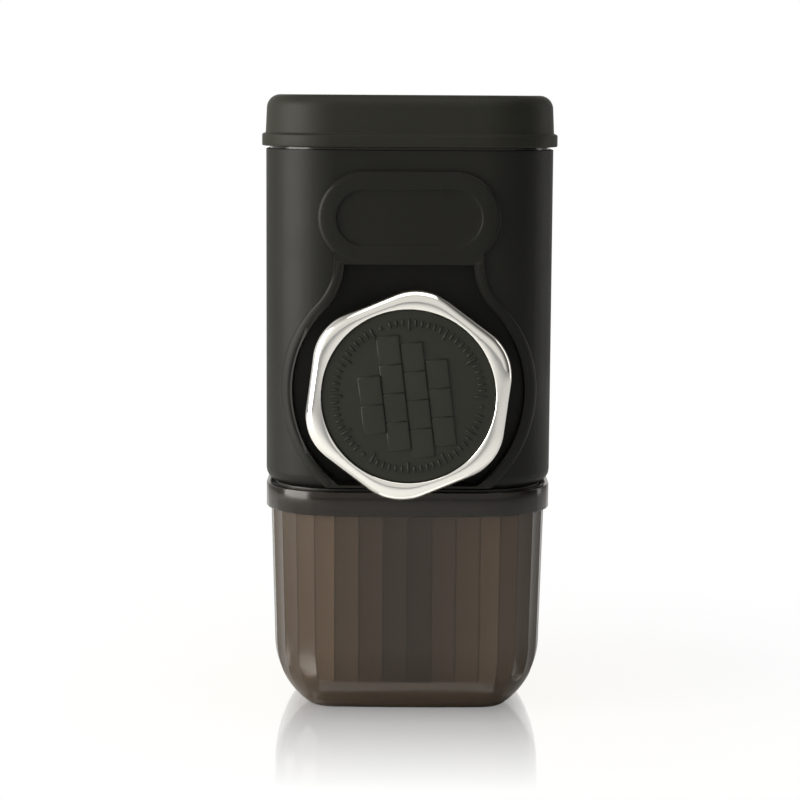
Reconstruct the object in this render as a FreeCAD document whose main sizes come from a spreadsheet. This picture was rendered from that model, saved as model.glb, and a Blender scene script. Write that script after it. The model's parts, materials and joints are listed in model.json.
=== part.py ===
import FreeCAD, Part
import math
import os
from types import SimpleNamespace

import Sketcher

# A handheld manual espresso maker, in millimetres. The origin is at the bottom centre of the cup,
# +Z is up, and the knob faces -Y. From the top down: a lift-off lid, a water tank, a housing with
# a twist-and-pump plunger, a brewing group that hangs under the housing, and the cup that covers it.

doc = FreeCAD.newDocument("espresso_maker")

SIZES = [
    # alias, value, what it measures
    ("body_width", "76.5", "housing across the front"),
    ("body_depth", "66", "housing from front to back"),
    ("corner_radius", "19", "upright corners of the housing"),
    ("shell_wall", "2", "housing wall"),
    ("shell_bottom", "61.5", "lower edge of the housing above the cup's foot"),
    ("shell_top", "150.7", "upper edge of the housing"),
    ("shell_round", "3.6", "rounding of the housing's lower edge"),
    ("flange_width", "6", "inward flange at the housing's lower edge, from the outside"),
    ("flange_height", "4.5", "height of that flange"),
    ("boss_radius", "3.2", "corner screw boss"),
    ("boss_height", "11", "corner screw boss"),
    ("boss_x", "27.6", "corner screw from the middle, across"),
    ("boss_y", "22.2", "corner screw from the middle, front to back"),
    ("pump_height", "87.8", "axis of the pump and knob above the foot"),
    ("plate_length", "47.5", "raised name plate, end to end"),
    ("plate_height", "24.1", "raised name plate"),
    ("plate_centre", "133.3", "name plate above the foot"),
    ("plate_rise", "1.2", "name plate proud of the housing"),
    ("plate_border", "4.75", "border round the plate's sunk field"),
    ("plate_sink", "0.6", "depth of the sunk field"),
    ("bead_width", "2.6", "raised bead round the knob recess"),
    ("bead_radius", "32", "middle of the bead round the knob"),
    ("bead_neck", "18.2", "middle of the bead from the middle, at the neck"),
    ("bead_bottom", "0.9", "lower end of the bead above the housing's edge"),
    ("recess_depth", "6.5", "knob recess below the front"),
    ("recess_lip", "1.5", "lip under the knob recess"),
    ("sleeve_gap", "0.6", "round the knob sleeve where it enters the housing"),
    ("seam", "0.4", "dark seam between the housing and the cup"),
    ("fit_gap", "0.3", "clearance between nested mouldings"),
    ("cup_wall", "2", "cup wall"),
    ("cup_floor", "2.2", "cup floor"),
    ("cup_collar", "6.5", "smooth collar at the cup's mouth"),
    ("cup_step", "0.85", "collar proud of the facets"),
    ("cup_draft", "1.5", "draft of the cup's sides, in degrees"),
    ("cup_round", "22", "rounding of the cup's foot"),
    ("cup_round_top", "17.9", "where the foot's rounding starts"),
    ("facet_crown", "0.45", "bow of the facets across the front and back"),
    ("lid_gap", "0.8", "shadow gap under the lid"),
    ("lid_height", "13.5", "lid"),
    ("lid_rise", "0.15", "lid skirt proud of the housing"),
    ("lid_round", "3.6", "rounding of the lid's upper edge"),
    ("lid_wall", "1.7", "lid skirt"),
    ("lid_top", "2.5", "lid's top wall"),
    ("rim_rise", "1.1", "grip rim proud of the housing"),
    ("rim_height", "3.3", "grip rim of the lid"),
    ("lid_seal_height", "2", "lid seal"),
    ("lid_seal_width", "4", "lid seal"),
    ("tank_wall", "1.6", "tank wall"),
    ("tank_flange", "1", "tank flange on the housing's edge, from the outside"),
    ("tank_floor", "106.4", "underside of the tank"),
    ("port_seal", "1", "seal under the tank's spout"),
    ("tank_step", "126", "underside of the tank's forward part"),
    ("port_y", "20.5", "water path behind the middle"),
    ("tube_radius", "4", "spout and inlet tubes"),
    ("tube_gap", "0.2", "round those tubes"),
    ("spout_bore", "2.6", "bore of the tank's spout"),
    ("inlet_bore", "2.9", "bore of the tube that holds the outlet valve"),
    ("way_radius", "1.6", "narrow water ways in the group head"),
    ("strainer_radius", "6", "strainer over the tank's spout"),
    ("strainer_height", "3", "strainer"),
    ("strainer_wall", "0.8", "strainer"),
    ("block_width", "16", "valve block's column"),
    ("block_depth", "9", "valve block's column"),
    ("block_bottom", "70.5", "underside of the valve block"),
    ("block_wing", "28", "valve block's square mounting plate"),
    ("wing_thickness", "3", "valve block's mounting plate"),
    ("chamber_radius", "2.9", "valve block's middle chamber"),
    ("chamber_low", "82", "shoulder over the outlet valve"),
    ("chamber_high", "94", "shoulder under the inlet valve"),
    ("valve_flange", "2", "thickness of a valve's flange"),
    ("valve_bill", "5", "length of a valve's bill"),
    ("valve_radius", "2.3", "a valve's bill"),
    ("pump_bore", "9", "pump bore, radius"),
    ("pump_wall", "3.5", "pump cylinder wall"),
    ("pump_rear", "16", "rear face of the pump cylinder behind the middle"),
    ("pump_end", "2", "pump cylinder's closed end"),
    ("pump_port", "2.5", "port in the closed end, radius"),
    ("pump_flange", "4", "pump cylinder's square flange"),
    ("stroke", "22", "plunger travel"),
    ("piston_length", "6", "piston head"),
    ("piston_gap", "0.3", "round the piston head"),
    ("stroke_margin", "0.8", "bore left over at the two ends of the stroke"),
    ("cap_radius", "14", "cylinder cap that the spring stands on"),
    ("cap_thickness", "2.5", "cylinder cap"),
    ("rod_radius", "4", "piston rod"),
    ("rod_fit", "0.08", "running clearance round the rod"),
    ("rod_head", "7", "collar at the rod's front end, radius"),
    ("rod_collar", "2", "thickness of that collar"),
    ("seal_width", "2", "piston seal"),
    ("seal_depth", "1.6", "groove of the piston seal"),
    ("seal_fit", "0.05", "piston seal to the bore"),
    ("foot_width", "16", "pump cylinder's foot"),
    ("foot_depth", "9", "pump cylinder's foot"),
    ("ear_width", "34", "ears of the foot"),
    ("ear_height", "3", "ears of the foot"),
    ("sleeve_radius", "18", "knob sleeve, outside"),
    ("sleeve_bore", "15", "knob sleeve, inside"),
    ("sleeve_rear", "3", "rear edge of the knob sleeve behind the middle"),
    ("sleeve_flange", "23.2", "flange of the knob sleeve, radius"),
    ("sleeve_floor", "3.2", "thickness of that flange"),
    ("track_floor", "16.3", "floor of the lock track, radius"),
    ("lug_tip", "16.6", "tip of a lock lug, radius"),
    ("lug_angle", "20", "width of a lock lug, in degrees"),
    ("track_angle", "22", "width of the lock track, in degrees"),
    ("lock_angle", "45", "turn from open to locked, in degrees"),
    ("lock_ring_radius", "23.5", "lock ring, outside"),
    ("lock_ring_height", "3", "lock ring"),
    ("knob_face", "43", "knob's face in front of the middle"),
    ("knob_height", "8.5", "knob ring, front to back"),
    ("knob_flat", "25.9", "middle of the knob to a flat"),
    ("knob_corner", "14.2", "rounding of the knob's corners"),
    ("knob_turn", "22.5", "first corner of the knob from +X, in degrees"),
    ("knob_bevel", "1.3", "bevel round the knob's face, across"),
    ("knob_bevel_depth", "2", "bevel round the knob's face, front to back"),
    ("disc_radius", "22.5", "knob's inset disc"),
    ("disc_thickness", "1.8", "knob's inset disc"),
    ("disc_sink", "0.7", "disc below the knob's face"),
    ("web_thickness", "2.5", "knob ring's web behind the disc"),
    ("web_hole", "8", "hole in that web, radius"),
    ("spring_radius", "13", "return spring, outside"),
    ("spring_wire", "1.4", "return spring's wire"),
    ("base_floor", "2.5", "base plate"),
    ("spigot_depth", "5.5", "base plate's spigot, from the housing down"),
    ("spigot_wall", "2", "spigot"),
    ("groove_depth", "1.2", "seal groove in the spigot"),
    ("groove_height", "1.6", "seal groove in the spigot"),
    ("groove_edge", "1.2", "below the seal groove"),
    ("head_radius", "27", "group head's flange"),
    ("head_thickness", "6", "group head's flange"),
    ("neck_radius", "21.5", "group head's neck"),
    ("neck_bore", "19.5", "group head's bore"),
    ("neck_length", "7.5", "group head's neck below its flange"),
    ("plenum_height", "3.5", "group head's bore above the gasket"),
    ("way_y", "6", "water inlet in the group head behind the middle"),
    ("bayonet_rise", "1.9", "bayonet lugs proud of the neck"),
    ("bayonet_height", "2", "bayonet lug"),
    ("bayonet_angle", "50", "width of a bayonet lug, in degrees"),
    ("bayonet_edge", "0.5", "bayonet lugs above the neck's lower edge"),
    ("bayonet_gap", "0.4", "clearance round the bayonet lugs"),
    ("gasket_height", "1.6", "group gasket"),
    ("gasket_bore", "18.6", "group gasket, inner radius"),
    ("screen_radius", "19.2", "dispersion screen"),
    ("screen_thickness", "1.2", "dispersion screen"),
    ("screen_standoff", "0.8", "dispersion screen below the ceiling"),
    ("screen_hole", "0.9", "hole in a screen or basket, radius"),
    ("basket_radius", "18.5", "filter basket, outside"),
    ("basket_wall", "0.8", "filter basket"),
    ("basket_rim", "21.3", "filter basket's rim, radius"),
    ("basket_rim_height", "1.2", "filter basket's rim"),
    ("basket_depth", "20", "filter basket"),
    ("cap_wall", "1.8", "brew cap wall"),
    ("cap_floor", "2.5", "brew cap floor"),
    ("cap_room", "0.7", "round the basket in the brew cap"),
    ("cap_grip", "12", "fluted grip of the brew cap"),
    ("flute_radius", "1.6", "flute of the grip"),
    ("nozzle_flange", "7", "spout nozzle's flange, radius"),
    ("nozzle_radius", "4.2", "spout nozzle"),
    ("nozzle_bore", "2", "spout nozzle"),
    ("nozzle_length", "8.5", "spout nozzle below the brew cap"),
    ("screw_radius", "1.2", "screw shank"),
    ("screw_head", "2.2", "screw head, radius"),
    ("screw_head_height", "1.5", "screw head"),
    ("screw_gap", "0.15", "round a screw shank where it passes through"),
]

sheet = doc.addObject("Spreadsheet::Sheet", "Sizes")
for row, (alias, value, note) in enumerate(SIZES, start=1):
    sheet.set(f"A{row}", alias.replace("_", " "))
    sheet.set(f"B{row}", value)
    sheet.setAlias(f"B{row}", alias)
    sheet.set(f"C{row}", note)
doc.recompute()


class Size:
    """A length, angle or ratio together with the sheet expression that gives it."""

    def __init__(self, value, text):
        self.value = float(value)
        self.text = text

    def __add__(self, other):
        return combine(self, "+", other)

    def __radd__(self, other):
        return combine(other, "+", self)

    def __sub__(self, other):
        return combine(self, "-", other)

    def __rsub__(self, other):
        return combine(other, "-", self)

    def __mul__(self, other):
        return combine(self, "*", other)

    def __rmul__(self, other):
        return combine(other, "*", self)

    def __truediv__(self, other):
        return combine(self, "/", other)

    def __neg__(self):
        return Size(-self.value, f"(0 - {self.text})")


def as_size(number):
    """Give a plain number the form of a sheet size."""
    if isinstance(number, Size):
        return number
    return Size(number, repr(float(number)))


def combine(left, sign, right):
    """Join two sizes with an arithmetic sign, in value and in expression."""
    left = as_size(left)
    right = as_size(right)
    value = {
        "+": lambda: left.value + right.value,
        "-": lambda: left.value - right.value,
        "*": lambda: left.value * right.value,
        "/": lambda: left.value / right.value,
    }[sign]()
    return Size(value, f"({left.text} {sign} {right.text})")


def cosine(angle):
    """Cosine of an angle in degrees."""
    angle = as_size(angle)
    return Size(math.cos(math.radians(angle.value)), f"cos({angle.text} * 1 deg)")


def sine(angle):
    """Sine of an angle in degrees."""
    angle = as_size(angle)
    return Size(math.sin(math.radians(angle.value)), f"sin({angle.text} * 1 deg)")


def tangent(angle):
    """Tangent of an angle in degrees."""
    angle = as_size(angle)
    return Size(math.tan(math.radians(angle.value)), f"tan({angle.text} * 1 deg)")


d = SimpleNamespace(**{alias: Size(sheet.get(alias), f"Sizes.{alias}") for alias, _, _ in SIZES})

NORMAL = FreeCAD.Vector(0, 0, 1)
START, END, CENTRE = 1, 2, 3


# Hidden and small round shapes have flats in place of a true circle, which keeps the model light
SMALL_FLATS = 6
ROUND_FLATS = 18
WIDE_FLATS = 30
CORNER_FLATS = 4
FACE_FLATS = 60


# Sketch helpers: every point and radius is tied to the sheet

def new_body(label, x=0, y=0, z=0):
    """A body whose own origin stands at the given place."""
    body = doc.addObject("PartDesign::Body", label)
    body.Label = label
    for axis, place in (("x", x), ("y", y), ("z", z)):
        place = as_size(place)
        if place.value:
            body.setExpression(f"Placement.Base.{axis}", place.text)
    return body


def new_sketch(body, name, role="XY_Plane", offset=0):
    """A sketch on one of the body's origin planes, moved along that plane's normal."""
    sketch = body.newObject("Sketcher::SketchObject", name)
    plane = [item for item in body.Origin.OriginFeatures if item.Role == role][0]
    sketch.AttachmentSupport = [(plane, "")]
    sketch.MapMode = "FlatFace"
    offset = as_size(offset)
    if offset.value:
        sketch.setExpression("AttachmentOffset.Base.z", offset.text)
    return sketch


def fix(sketch, kind, size, *where):
    """Add a dimension and tie it to the sheet."""
    size = as_size(size)
    index = sketch.addConstraint(Sketcher.Constraint(kind, *where, size.value))
    if "Sizes." in size.text:
        sketch.setExpression(f"Constraints[{index}]", size.text)


def pin(sketch, geometry, point, x, y):
    """Fix one point at two lengths from the sketch's origin."""
    fix(sketch, "DistanceX", x, -1, 1, geometry, point)
    fix(sketch, "DistanceY", y, -1, 1, geometry, point)


def vector(x, y):
    """A point of a sketch from two sizes."""
    return FreeCAD.Vector(as_size(x).value, as_size(y).value, 0)


def draw_polygon(sketch, points):
    """A closed outline of straight lines through points that the sheet fixes."""
    first = sketch.GeometryCount
    count = len(points)
    for here, there in zip(points, points[1:] + points[:1]):
        sketch.addGeometry(Part.LineSegment(vector(*here), vector(*there)), False)
    for step in range(count):
        following = first + (step + 1) % count
        sketch.addConstraint(Sketcher.Constraint("Coincident", first + step, END, following, START))
    for step, (x, y) in enumerate(points):
        pin(sketch, first + step, START, x, y)


def draw_rectangle(sketch, x_low, x_high, y_low, y_high):
    """A rectangle from its four sides' places."""
    draw_polygon(sketch, [(x_low, y_low), (x_high, y_low), (x_high, y_high), (x_low, y_high)])


def draw_circle(sketch, x, y, radius):
    """A circle with its centre and radius from the sheet."""
    radius = as_size(radius)
    circle = Part.Circle(vector(x, y), NORMAL, radius.value)
    index = sketch.addGeometry(circle, False)
    pin(sketch, index, CENTRE, x, y)
    fix(sketch, "Radius", radius, index)


def draw_arc(sketch, x, y, radius, start, stop, fix_radius=True):
    """An arc, anticlockwise between two rough angles, that its neighbours then trim."""
    radius = as_size(radius)
    circle = Part.Circle(vector(x, y), NORMAL, radius.value)
    arc = Part.ArcOfCircle(circle, math.radians(start), math.radians(stop))
    index = sketch.addGeometry(arc, False)
    pin(sketch, index, CENTRE, x, y)
    if fix_radius:
        fix(sketch, "Radius", radius, index)
    return index


def join(sketch, kind, first, first_point, second, second_point):
    """Join two ends, either meeting or meeting smoothly."""
    sketch.addConstraint(Sketcher.Constraint(kind, first, first_point, second, second_point))


def line_between(sketch, first, second):
    """A line between two rough points."""
    return sketch.addGeometry(Part.LineSegment(first, second), False)


def arc_end(sketch, index, point):
    """Where an arc's end lies now."""
    return sketch.getPoint(index, point)


def draw_rounded_rectangle(sketch, half_x, half_y, radius):
    """A rectangle about the origin with four round corners."""
    arcs = []
    for quarter, (side_x, side_y) in enumerate([(1, 1), (-1, 1), (-1, -1), (1, -1)]):
        centre_x = (half_x - radius) * side_x
        centre_y = (half_y - radius) * side_y
        arcs.append(draw_arc(sketch, centre_x, centre_y, radius, 90 * quarter, 90 * quarter + 90))
    for here, there in zip(arcs, arcs[1:] + arcs[:1]):
        line = line_between(sketch, arc_end(sketch, here, END), arc_end(sketch, there, START))
        join(sketch, "Tangent", here, END, line, START)
        join(sketch, "Tangent", line, END, there, START)


def draw_stadium(sketch, length, height, centre_y):
    """A slot shape with round ends, lying along X."""
    radius = height / 2
    reach = length / 2 - radius
    right = draw_arc(sketch, reach, centre_y, radius, -90, 90)
    left = draw_arc(sketch, -reach, centre_y, radius, 90, 270)
    top = line_between(sketch, arc_end(sketch, right, END), arc_end(sketch, left, START))
    low = line_between(sketch, arc_end(sketch, left, END), arc_end(sketch, right, START))
    join(sketch, "Tangent", right, END, top, START)
    join(sketch, "Tangent", top, END, left, START)
    join(sketch, "Tangent", left, END, low, START)
    join(sketch, "Tangent", low, END, right, START)


def draw_sector(sketch, inner, outer, centre_angle, half_angle):
    """A piece of a ring about the origin, between two angles near the upright."""
    inner, outer = as_size(inner), as_size(outer)
    low = as_size(centre_angle - half_angle)
    high = as_size(centre_angle + half_angle)
    inside = draw_arc(sketch, 0, 0, inner, low.value, high.value)
    outside = draw_arc(sketch, 0, 0, outer, low.value, high.value)
    for point, angle in ((START, low), (END, high)):
        ends = arc_end(sketch, inside, point), arc_end(sketch, outside, point)
        side = line_between(sketch, *ends)
        join(sketch, "Coincident", inside, point, side, START)
        join(sketch, "Coincident", outside, point, side, END)
        fix(sketch, "DistanceX", inner * cosine(angle), -1, 1, side, START)
        fix(sketch, "DistanceX", outer * cosine(angle), -1, 1, side, END)


def draw_smooth_plan(sketch, inset):
    """The housing's plan outline, moved inwards by the inset, with round corners."""
    radius = d.corner_radius - inset
    draw_rounded_rectangle(sketch, d.body_width / 2 - inset, d.body_depth / 2 - inset, radius)


def draw_plan(sketch, inset):
    """The same outline for hidden walls, with the corners in flats."""
    radius = d.corner_radius - inset
    centre_x = d.body_width / 2 - d.corner_radius
    centre_y = d.body_depth / 2 - d.corner_radius
    points = []
    for quarter, (side_x, side_y) in enumerate([(1, 1), (-1, 1), (-1, -1), (1, -1)]):
        for step in range(CORNER_FLATS + 1):
            angle = 90 * quarter + 90 * step / CORNER_FLATS
            x = centre_x * side_x + radius * cosine(angle)
            y = centre_y * side_y + radius * sine(angle)
            points.append((x, y))
    draw_polygon(sketch, points)


# Feature helpers

def pad(body, sketch, length, taper=0):
    """Build material up from a sketch along its normal, wider or narrower as it goes."""
    feature = body.newObject("PartDesign::Pad", sketch.Name + "_pad")
    feature.Profile = sketch
    feature.setExpression("Length", as_size(length).text)
    feature.TaperAngle = taper
    sketch.Visibility = False
    return feature


def pocket(body, sketch, length):
    """Cut a sketch into the body, against its normal."""
    feature = body.newObject("PartDesign::Pocket", sketch.Name + "_pocket")
    feature.Profile = sketch
    feature.setExpression("Length", as_size(length).text)
    sketch.Visibility = False
    return feature


def revolve(body, sketch, axis):
    """Turn a sketch all the way round one of its own axes."""
    feature = body.newObject("PartDesign::Revolution", sketch.Name + "_turn")
    feature.Profile = sketch
    feature.ReferenceAxis = (sketch, [axis])
    feature.Angle = 360
    sketch.Visibility = False
    return feature


def pattern_round(body, features, role, count):
    """Repeat features evenly round one of the body's origin axes."""
    axis = [item for item in body.Origin.OriginFeatures if item.Role == role][0]
    feature = body.newObject("PartDesign::PolarPattern", features[0].Name + "_pattern")
    feature.Originals = features
    feature.Axis = (axis, [""])
    feature.Angle = 360
    feature.Occurrences = count
    body.Tip = feature
    return feature


def plan_pad(body, name, inset, bottom, top, hollow=None, draw=draw_plan):
    """A slice of the housing's plan between two heights, hollow where an inner inset is given."""
    sketch = new_sketch(body, name, offset=bottom)
    draw(sketch, inset)
    if hollow is not None:
        draw_plan(sketch, hollow)
    return pad(body, sketch, top - bottom)


def plan_pocket(body, name, inset, bottom, top):
    """Cut a slice of the housing's plan between two heights."""
    sketch = new_sketch(body, name, offset=top)
    draw_plan(sketch, inset)
    return pocket(body, sketch, top - bottom)


def level_turning(label, name, points):
    """A round piece about the pump's axis, from its half section of depth and radius."""
    body = new_body(label, z=d.pump_height)
    sketch = new_sketch(body, name, "YZ_Plane")
    draw_polygon(sketch, points)
    revolve(body, sketch, "H_Axis")
    return body


def ring(label, inner, outer, low, high, y=0, flats=WIDE_FLATS):
    """A plain ring about an upright axis."""
    body = new_body(label, 0, y)
    posts(body, [(0, 0)], outer, low, high, flats)
    holes(body, [(0, 0)], inner, low, high, flats)
    return body


def level_ring(label, inner, outer, front, rear, flats=ROUND_FLATS):
    """A plain ring about the pump's axis."""
    body = new_body(label, z=d.pump_height)
    level_posts(body, [(0, 0)], outer, front, rear, flats)
    level_holes(body, [(0, 0)], inner, front, rear, flats)
    return body


def prism(body, kind, role, centre, start, length, radius, flats):
    """A round shape with flats, standing on one of the body's origin planes."""
    feature = body.newObject(f"PartDesign::{kind}Prism", kind.lower())
    plane = [item for item in body.Origin.OriginFeatures if item.Role == role][0]
    feature.AttachmentSupport = [(plane, "")]
    feature.MapMode = "FlatFace"
    feature.Polygon = flats
    feature.setExpression("Circumradius", as_size(radius).text)
    feature.setExpression("Height", as_size(length).text)
    for axis, place in (("x", centre[0]), ("y", centre[1]), ("z", start)):
        feature.setExpression(f"AttachmentOffset.Base.{axis}", as_size(place).text)
    return feature


def posts(body, centres, radius, bottom, top, flats=SMALL_FLATS):
    """Upright round posts between two heights."""
    for centre in centres:
        prism(body, "Additive", "XY_Plane", centre, bottom, top - bottom, radius, flats)


def holes(body, centres, radius, bottom, top, flats=SMALL_FLATS):
    """Upright round holes between two heights."""
    for centre in centres:
        prism(body, "Subtractive", "XY_Plane", centre, bottom, top - bottom, radius, flats)


def level_posts(body, centres, radius, front, rear, flats=SMALL_FLATS):
    """Round posts along the pump's axis between two depths."""
    for centre in centres:
        prism(body, "Additive", "XZ_Plane", centre, -rear, rear - front, radius, flats)


def level_holes(body, centres, radius, front, rear, flats=SMALL_FLATS):
    """Round holes along the pump's axis between two depths."""
    for centre in centres:
        prism(body, "Subtractive", "XZ_Plane", centre, -rear, rear - front, radius, flats)


def round_holes(body, reach, start, count, radius, bottom, top):
    """Equal holes spaced evenly round the body's upright axis, the first at an angle."""
    centre = (reach * cosine(start), reach * sine(start))
    first = prism(
        body, "Subtractive", "XY_Plane", centre, bottom, top - bottom, radius, SMALL_FLATS
    )
    pattern_round(body, [first], "Z_Axis", count)


def level_block(body, name, x_low, x_high, z_low, z_high, front, rear):
    """A block between two depths."""
    sketch = new_sketch(body, name, "XZ_Plane", offset=-as_size(rear))
    draw_rectangle(sketch, x_low, x_high, z_low, z_high)
    return pad(body, sketch, rear - front)


def upright_screws(label, centres, seat, tip, head_up):
    """Identical upright screws in one node: the head's bearing face is at the seat."""
    body = new_body(label)
    height = d.screw_head_height
    low, high = (seat, seat + height) if head_up else (seat - height, seat)
    posts(body, centres, d.screw_head, low, high)
    low, high = (tip, seat) if head_up else (seat, tip)
    posts(body, centres, d.screw_radius, low, high)
    return body


def level_screws(label, centres, seat, tip):
    """Identical screws along the pump's axis, heads behind the seat and tips in front."""
    body = new_body(label, z=d.pump_height)
    level_posts(body, centres, d.screw_head, seat, seat + d.screw_head_height)
    level_posts(body, centres, d.screw_radius, tip, seat)
    return body


def four_corners(x, y):
    """Four places mirrored in both directions."""
    return [(x, y), (-x, y), (-x, -y), (x, -y)]


def round_places(radius, angles):
    """Places on a circle at fixed angles in degrees."""
    return [(radius * cosine(angle), radius * sine(angle)) for angle in angles]


def boolean(kind, label, base, tool):
    """Subtract one solid from another, or keep what two solids share."""
    result = doc.addObject(kind, label)
    result.Label = label
    result.Base = base
    result.Tool = tool
    return result


# Levels and depths that several pieces share

half_depth = d.body_depth / 2
front = -half_depth
recess_floor = front + d.recess_depth
tub_back = recess_floor + d.shell_wall
plate_low = d.plate_centre - d.plate_height / 2
cavity_floor = d.shell_bottom + d.flange_height
spigot_inset = d.cup_wall + d.fit_gap
base_underside = d.shell_bottom - d.base_floor
spigot_low = d.shell_bottom - d.spigot_depth

boss_hole_top = d.shell_bottom + d.boss_height - d.shell_wall

cup_top = d.shell_bottom - d.seam
collar_low = cup_top - d.cup_collar

lid_low = d.shell_top + d.lid_gap
lid_high = lid_low + d.lid_height
lid_ceiling = lid_high - d.lid_top
mouth_top = lid_ceiling - d.lid_seal_height
lid_inset = d.lid_wall - d.lid_rise
tank_inset = d.shell_wall + d.fit_gap
tank_front = tub_back + d.lock_ring_height + d.fit_gap
block_top = d.tank_floor - d.port_seal

cylinder_floor = d.pump_rear - d.pump_end
piston_rear = cylinder_floor - d.stroke_margin / 2
piston_front = piston_rear - d.piston_length
cylinder_mouth = cylinder_floor - d.stroke - d.piston_length - d.stroke_margin
cap_front = cylinder_mouth - d.cap_thickness
cylinder_radius = d.pump_bore + d.pump_wall
block_rear = d.pump_rear + d.block_depth
spout_tip = d.chamber_high + d.valve_flange + d.tube_gap
inlet_tip = d.chamber_low - d.valve_flange - d.tube_gap

knob_front = -d.knob_face
disc_front = knob_front + d.disc_sink
web_front = disc_front + d.disc_thickness
web_rear = web_front + d.web_thickness
sleeve_floor_rear = web_rear + d.sleeve_floor
knob_rear = knob_front + d.knob_height
rod_front = web_rear - d.rod_collar - d.tube_gap

head_low = base_underside - d.head_thickness
neck_low = head_low - d.neck_length
gasket_low = neck_low - d.gasket_height
plenum_top = neck_low + d.plenum_height
bayonet_low = neck_low + d.bayonet_edge
bayonet_high = bayonet_low + d.bayonet_height
bayonet_radius = d.neck_radius + d.bayonet_rise
rim_low = gasket_low - d.basket_rim_height
basket_low = gasket_low - d.basket_depth
cap_top = head_low - d.screw_head_height - 2 * d.fit_gap
cap_bore = bayonet_radius + d.bayonet_gap
cap_radius_out = cap_bore + d.cap_wall
basket_room = d.basket_radius + d.cap_room
cap_inner_floor = basket_low - d.screw_head_height
cap_low = cap_inner_floor - d.cap_floor

BASE_SCREWS = four_corners(d.boss_x, d.boss_y)
PUMP_SCREWS = [
    (d.ear_width / 2 - d.screw_head - d.screw_gap, d.pump_rear - d.pump_flange - d.screw_head),
    (d.screw_head + d.screw_gap - d.ear_width / 2, d.pump_rear - d.pump_flange - d.screw_head),
]
HEAD_SCREWS = round_places(d.head_radius - d.screw_head - d.fit_gap, (30, 150, 270))
wing_screw = d.block_wing / 2 - d.screw_head - d.fit_gap
WING_SCREWS = [(wing_screw, -wing_screw), (-wing_screw, wing_screw)]
LOCK_SCREWS = round_places(d.lock_ring_radius - d.screw_head - d.fit_gap, (0, 180))
KNOB_SCREWS = round_places((d.sleeve_radius + d.sleeve_flange) / 2, (30, 150, 270))


# Housing shell: a wall with a knob recess, its bead and the plate above it

def draw_recess_outline(sketch, offset, low, high):
    """A round-bottomed outline with a narrowing neck, grown outwards by the offset."""
    neck_height = d.plate_centre - d.plate_height / 2 + d.shell_wall / 2 - d.pump_height
    radius = d.bead_radius
    gap = radius - d.bead_neck
    squares = d.bead_neck * d.bead_neck + neck_height * neck_height - radius * radius
    flare = squares / (2 * gap)
    flare_x = d.bead_neck + flare
    flare_z = d.pump_height + neck_height
    round_radius = radius + offset
    tilt = math.degrees(math.atan2(neck_height.value, flare_x.value))
    drop = math.degrees(math.asin((low.value - d.pump_height.value) / round_radius.value))
    lift = math.degrees(math.asin((high.value - flare_z.value) / (flare - offset).value))
    right = draw_arc(sketch, 0, d.pump_height, round_radius, drop, tilt)
    left = draw_arc(sketch, 0, d.pump_height, round_radius, 180 - tilt, 180 - drop)
    neck_right = draw_arc(
        sketch, flare_x, flare_z, flare - offset, 180 - lift, 180 + tilt, fix_radius=False
    )
    neck_left = draw_arc(
        sketch, -flare_x, flare_z, flare - offset, -tilt, lift, fix_radius=False
    )
    join(sketch, "Tangent", right, END, neck_right, END)
    join(sketch, "Tangent", left, START, neck_left, START)
    top = line_between(
        sketch, arc_end(sketch, neck_right, START), arc_end(sketch, neck_left, END)
    )
    join(sketch, "Coincident", neck_right, START, top, START)
    join(sketch, "Coincident", top, END, neck_left, END)
    bottom = line_between(sketch, arc_end(sketch, left, END), arc_end(sketch, right, START))
    join(sketch, "Coincident", left, END, bottom, START)
    join(sketch, "Coincident", bottom, END, right, START)
    for line, level in ((top, high), (bottom, low)):
        fix(sketch, "DistanceY", level, -1, 1, line, START)
        fix(sketch, "DistanceY", level, -1, 1, line, END)


def front_pad(body, name, rear, reach, draw, *values):
    """Material from a depth forwards, from an outline seen from the front."""
    sketch = new_sketch(body, name, "XZ_Plane", offset=-as_size(rear))
    draw(sketch, *values)
    return pad(body, sketch, reach)


def lidded_plan(body, inset, bottom, top, radius):
    """A smooth slice of the plan whose upper edge is rounded in two steps."""
    near = radius * (1 - cosine(45))
    far = radius * cosine(45)
    for name, step_inset, level, rise, taper in (
        ("Wall", inset, bottom, top - bottom - radius, 0),
        ("Shoulder", inset, top - radius, far, -22.5),
        ("Crown", inset + near, top - near, near, -67.5),
    ):
        sketch = new_sketch(body, name, offset=level)
        draw_smooth_plan(sketch, step_inset)
        pad(body, sketch, rise, taper)


def make_shell_block():
    """The plain wall with its rounded lower edge, its lower flange and the screw bosses."""
    body = new_body("shell_block")
    bevel = new_sketch(body, "Bevel", offset=d.shell_bottom)
    draw_smooth_plan(bevel, d.shell_round)
    pad(body, bevel, d.shell_round, 45)
    plan_pad(
        body, "Wall", as_size(0), d.shell_bottom + d.shell_round, d.shell_top, draw=draw_smooth_plan
    )
    plan_pocket(body, "Inside", d.shell_wall, cavity_floor, d.shell_top)
    plan_pocket(body, "Flange", d.flange_width, d.shell_bottom, cavity_floor)
    posts(body, BASE_SCREWS, d.boss_radius, d.shell_bottom, boss_hole_top + d.shell_wall)
    holes(body, BASE_SCREWS, d.screw_radius, d.shell_bottom, boss_hole_top)
    return body


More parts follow.
